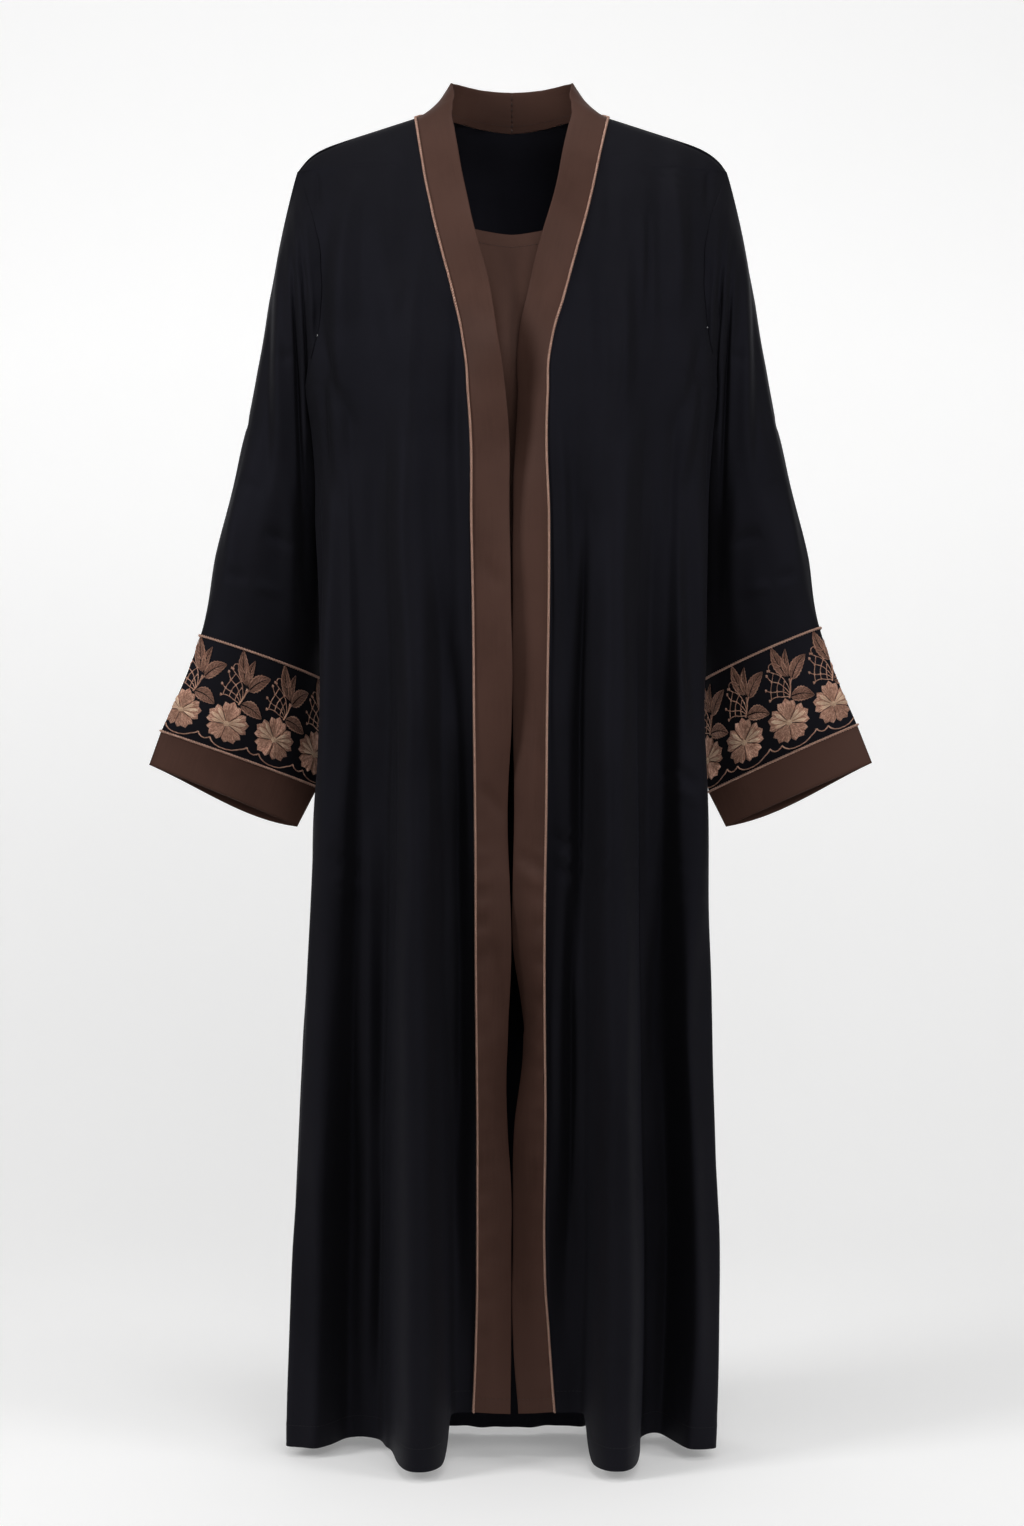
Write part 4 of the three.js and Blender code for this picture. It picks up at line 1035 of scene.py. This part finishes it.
def softPath(points, count):  # a smooth line through a few given points
    points = np.array(points, float)
    reach = np.concatenate([[0], np.cumsum(np.linalg.norm(np.diff(points, axis=0), axis=1))])
    at = np.linspace(0, reach[-1], count)
    return np.stack([curveThrough(reach, points[:, k])(at) for k in range(2)], -1)


def petalPatch(heading, half, length, lobes, centre):
    angle = np.linspace(-1, 1, 25)[:, None]
    share = np.linspace(0, 1, 9)[None, :]
    edge = length * (0.72 + 0.28 * np.cos(angle * math.pi / 2) ** 0.35)
    edge = edge * (1 - 0.11 * np.abs(np.sin(angle * math.pi * lobes / 2)) ** 1.6)
    edge = edge + 0.3 * np.cos(angle * math.pi * lobes * 3)
    radius = mix(border["core"] * 0.55, edge, share)
    spread = np.radians(heading + angle * half * (1 - 0.12 * (1 - share)))
    rise = np.sin(math.pi * np.clip(share, 0.06, 1)) ** 0.5 * (1 - np.abs(angle) ** 6) ** 0.5
    groove = 1 - 0.55 * np.exp(-(((np.abs(np.sin(angle * math.pi * lobes / 2)) - 1) / 0.1) ** 2)) * share
    height = border["puff"] * rise * groove - border["sunk"] * (1 - np.minimum(rise * 3, 1))
    across, up = centre[0] + radius * np.cos(spread), centre[1] + radius * np.sin(spread)
    lanes = angle * half / 57.3 * length * 0.62 + 0 * share
    return across, up, height, lanes, radius + 0 * angle


def leafPatches(base, heading, length, half, centre):  # each half is a filling and, past a gap, a raised rim
    patches = []
    t = np.linspace(0, 1, 26)[:, None]
    s = np.linspace(0, 1, 6)[None, :]
    outline = half * np.sin(math.pi * t**0.82) ** 0.75 * (1 - 0.12 * t) * (1 + 0.07 * np.sin(t * 48))
    vein = 0.5 * (1 - t**2) + 0.08
    bend = 2.2 * np.sin(math.pi * t)
    forward = np.array([math.cos(math.radians(heading)), math.sin(math.radians(heading))])
    left = np.array([-forward[1], forward[0]])
    ends = np.sin(math.pi * np.clip(t, 0.03, 0.97)) ** 0.3
    sideVeins = 1 - 0.5 * np.exp(-((((t * 5.2 - 0.8 * s) % 1) - 0.5) / 0.12) ** 2)
    for way in (-1, 1):
        parts = (("copper", 0.0, 0.7, 0.7, sideVeins), ("rose", 0.74, 1.0, 1.1, 1))
        for thread, near, far, puff, veined in parts:
            across = mix(vein, np.maximum(outline, vein + 0.05), mix(near, far, s))
            ridge = np.sin(math.pi * np.clip(s, 0.08, 0.95)) ** 0.5 * ends
            height = border["puff"] * puff * ridge * veined - border["sunk"] * (1 - np.minimum(ridge * 3, 1))
            x = centre[0] + base[0] + forward[0] * length * t + left[0] * (way * across + bend)
            y = centre[1] + base[1] + forward[1] * length * t + left[1] * (way * across + bend)
            patches.append((thread, (x, y, height, length * t * 0.9 - 0.7 * half * s, across + 0 * t)))
    return patches


def linePatch(points, wide, height=0.7, count=None):
    path = softPath(points, count or max(len(points) * 5, 10))
    along = unit(np.gradient(path, axis=0))
    left = np.stack([-along[:, 1], along[:, 0]], -1)
    s = np.linspace(-1, 1, 6)[None, :]
    x, y = path[:, :1] + left[:, :1] * s * wide / 2, path[:, 1:] + left[:, 1:] * s * wide / 2
    ends = np.minimum(np.linspace(0, 8, len(path)), np.linspace(8, 0, len(path)))[:, None]
    rise = np.sqrt(np.maximum(1 - s**2, 0)) * np.clip(0.3 + ends, 0, 1)
    reach = np.linspace(0, 1, len(path))[:, None] * len(path)
    return x, y, height * rise - 0.1, s * wide / 2 + reach * 0.3, reach + 0 * s


def knotPatch(centre, radius, height):
    angle = np.linspace(0, 2 * math.pi, 15)[:, None]
    share = np.linspace(1, 0.02, 5)[None, :]
    lobed = radius * (1 + 0.16 * np.cos(3 * angle))
    rise = np.sqrt(1 - share**2)
    x, y = centre[0] + lobed * share * np.cos(angle), centre[1] + lobed * share * np.sin(angle)
    return x, y, height * rise - 0.15, x - centre[0] + 0 * share, y - centre[1] + 0 * share


def borderPatches(repeat):  # patches of one repeat, by thread
    centre = (0.0, border["blossomUp"])
    patches = {"rose": [], "cream": [], "copper": []}
    for heading, half, length, lobes, thread in border["petals"]:
        patches["rose"].append(petalPatch(heading, half, length, lobes, centre))
        # cream strokes on these petals: cream thread and painted highlight
        if thread == "cream":
            for turn, reach in border["creamHighlight"]:
                narrow = petalPatch(heading + turn, border["creamHighlightHalf"], length * reach, 1, centre)
                x, y, height, lanes, run = narrow
                patches["cream"].append((x, y, height + border["creamHighlightLift"], lanes, run))
    for across, up, heading, length, half in border["leaves"]:
        for thread, patch in leafPatches((across, up), heading, length, half, centre):
            patches[thread].append(patch)
    for stem in border["stems"]:
        patches["rose"].append(linePatch([(x, y + centre[1]) for x, y in stem], border["stemWidth"], 0.9))
    for twig in border["twigs"]:
        patches["rose"].append(linePatch([(x, y + centre[1]) for x, y in twig], border["twigWidth"], 0.6))
    for x, y, radius in border["knots"]:
        patches["rose"].append(knotPatch((x, y + centre[1]), radius, 0.8))
    for k in range(6):
        angle = math.radians(60 * k + 15)
        spot = (centre[0] + 2.0 * math.cos(angle), centre[1] + 2.0 * math.sin(angle))
        patches["cream"].append(knotPatch(spot, 1.3, 1.7))
    patches["cream"].append(knotPatch(centre, 1.4, 1.9))
    for run in border["scallop"]:
        line = [(share * repeat, up) for share, up in run]
        patches["rose"].append(linePatch(line, border["lineWidth"], 0.75))
    return patches


def embroider(name, side):
    fine = np.arange(0, 360.01, 0.5)
    ring = sleevePoint(side, loops[name], fine, border["fittedAt"] + 0 * fine)
    reach = np.concatenate([[0], np.cumsum(np.linalg.norm(np.diff(ring, axis=0), axis=1))])
    repeat = reach[-1] / border["repeats"]
    patches = borderPatches(repeat)
    for thread, finish in (("rose", roseThread), ("cream", creamThread), ("copper", copperThread)):
        points, faces, uv, count = [], [], [], 0
        for n in range(border["repeats"]):
            for x, y, height, lanes, run in patches[thread]:
                x = x + border["lean"][name] * (y - border["leanFrom"])
                place = (-side * x + (n + border["phase"][name]) * repeat) % reach[-1]
                turn = np.interp(place, reach, fine)
                at = sleeve["cuffSeam"] - y / border["height"] + 0 * x
                here = sleevePoint(side, loops[name], turn, at)
                downward = sleevePoint(side, loops[name], turn, at + 0.004) - here
                onward = sleevePoint(side, loops[name], turn + 0.2, at) - here
                out = unit(np.cross(downward, onward) * -side)
                rows, columns = here.shape[:2]
                quads, corners = gridFaces(rows, columns, 1)
                points.append((here + out * (height + border["lift"])[..., None]).reshape(-1, 3))
                corner = points[-1][quads]
                facing = np.cross(corner[:, 1] - corner[:, 0], corner[:, 2] - corner[:, 0])
                if (facing * out.reshape(-1, 3)[quads[:, 0]]).sum() < 0:
                    quads, corners = quads[:, ::-1], corners[::-1]
                faces.append(quads + count)
                uv.append(np.stack([np.stack([lanes[a, b], run[a, b]], -1) for a, b in corners], 1) * mm)
                count += rows * columns
        piece = meshFrom(f"{thread}Embroidery{name.title()}", np.concatenate(points), np.concatenate(faces),
                         finish, np.concatenate(uv))
        declare(piece, None)
        yield piece


for name, side in sides.items():
    piece, grid = sleevePieces[name]
    threads = list(embroider(name, side))
    declare(piece, f"sleeve_{name}", grid, around=True)
print("embroidery stitched")


# Floor, lights and camera
studio = {
    "floor": -1.396, "paperFront": -0.36, "wallAt": 2.4, "wallTop": 3.5, "curve": 1.2, "halfWidth": 3.2,
    "white": (0.8, 0.797, 0.795, 1), "greyer": (0.78, 0.777, 0.775, 1), "glow": 0.46,
    "dimGlow": (0.52, 0.52, 0.52, 1), "fullGlow": (1, 1, 1, 1), "above": 0.2, "below": 0.02, "seen": 0.92,
}


def studioFloor():
    profile = [(studio["paperFront"], studio["floor"])]
    for k in range(17):
        angle = math.pi / 2 * k / 16
        profile.append((studio["wallAt"] - studio["curve"] + studio["curve"] * math.sin(angle),
                        studio["floor"] + studio["curve"] * (1 - math.cos(angle))))
    profile.append((studio["wallAt"], studio["wallTop"]))
    points = [(x, y, z) for y, z in profile for x in (-studio["halfWidth"], studio["halfWidth"])]
    faces = [(2 * k, 2 * k + 1, 2 * k + 3, 2 * k + 2) for k in range(len(profile) - 1)]
    # The paper glows as well as taking the lamps' light: painted light that brings it up to white.
    material, tree, shader = newFinish("studioPaper", {
        "Roughness": 0.9, "Specular IOR Level": 0.05, "Emission Strength": studio["glow"]})
    place = addNode(tree, "ShaderNodeTexCoord").outputs["Object"]
    grain = addNode(tree, "ShaderNodeTexNoise", {"Vector": place, "Scale": 3.0, "Detail": 3.0}).outputs["Fac"]
    tree.links.new(blendColors(tree, grain, studio["greyer"], studio["white"]), shader.inputs["Base Color"])
    height = addNode(tree, "ShaderNodeSeparateXYZ", {0: place}).outputs[2]
    # less glow on the floor than up the wall: painted shade towards the floor
    share = addNode(tree, "ShaderNodeMapRange", {0: height, 1: studio["floor"], 2: 0.1}).outputs[0]
    glow = blendColors(tree, share, studio["dimGlow"], studio["fullGlow"])
    tree.links.new(glow, shader.inputs["Emission Color"])
    floor = meshFrom("studioFloor", np.array(points) / mm, faces, material)


def studioAir():  # soft light from above, little from below, and white to look at
    world = bpy.data.worlds.new("studioAir")
    world.use_nodes = True
    tree = world.node_tree
    up = addNode(tree, "ShaderNodeSeparateXYZ", {0: addNode(tree, "ShaderNodeTexCoord").outputs["Generated"]})
    share = addNode(tree, "ShaderNodeMapRange", {
        0: up.outputs[2], 1: -0.3, 2: 0.5, 3: studio["below"], 4: studio["above"]})
    seen = addNode(tree, "ShaderNodeLightPath").outputs["Is Camera Ray"]
    strength = addNode(tree, "ShaderNodeMix", {0: seen, 2: share.outputs[0], 3: studio["seen"]}).outputs[0]
    tree.links.new(strength, tree.nodes["Background"].inputs["Strength"])
    tree.nodes["Background"].inputs["Color"].default_value = (1, 1, 1, 1)
    bpy.context.scene.world = world


def softbox(name, place, target, size, power, spread=180):
    data = bpy.data.lights.new(name, "AREA")
    data.shape = "RECTANGLE"
    data.size, data.size_y = size
    data.energy = power
    data.spread = math.radians(spread)
    light = link(bpy.data.objects.new(name, data))
    light.location = place
    light.rotation_euler = (Vector(target) - Vector(place)).to_track_quat("-Z", "Y").to_euler()


studioFloor()
studioAir()
softbox("keyBox", (0.45, -2.2, 0.3), (0, 0, -0.4), (1.5, 1.0), 10.5, 130)
softbox("leftBox", (-2.4, -1.5, 0.5), (-0.1, 0, -0.5), (0.9, 1.8), 44)
softbox("rightBox", (2.4, -1.6, 0.0), (0.1, 0, -0.7), (0.9, 1.8), 25)
softbox("topBox", (0, -0.5, 2.2), (0, 0.06, -0.1), (1.4, 0.9), 17)
bpy.context.scene.view_settings.view_transform = "Standard"

view = {"distance": 3.0, "height": -0.677, "lens": 67.4, "sensor": 36}
cameraData = bpy.data.cameras.new("frontView")
cameraData.lens = view["lens"]
cameraData.sensor_width = view["sensor"]
camera = link(bpy.data.objects.new("frontView", cameraData))
camera.location = (0, -view["distance"], view["height"])
camera.rotation_euler = (math.pi / 2, 0, 0)
bpy.context.scene.camera = camera
print("studio lit")
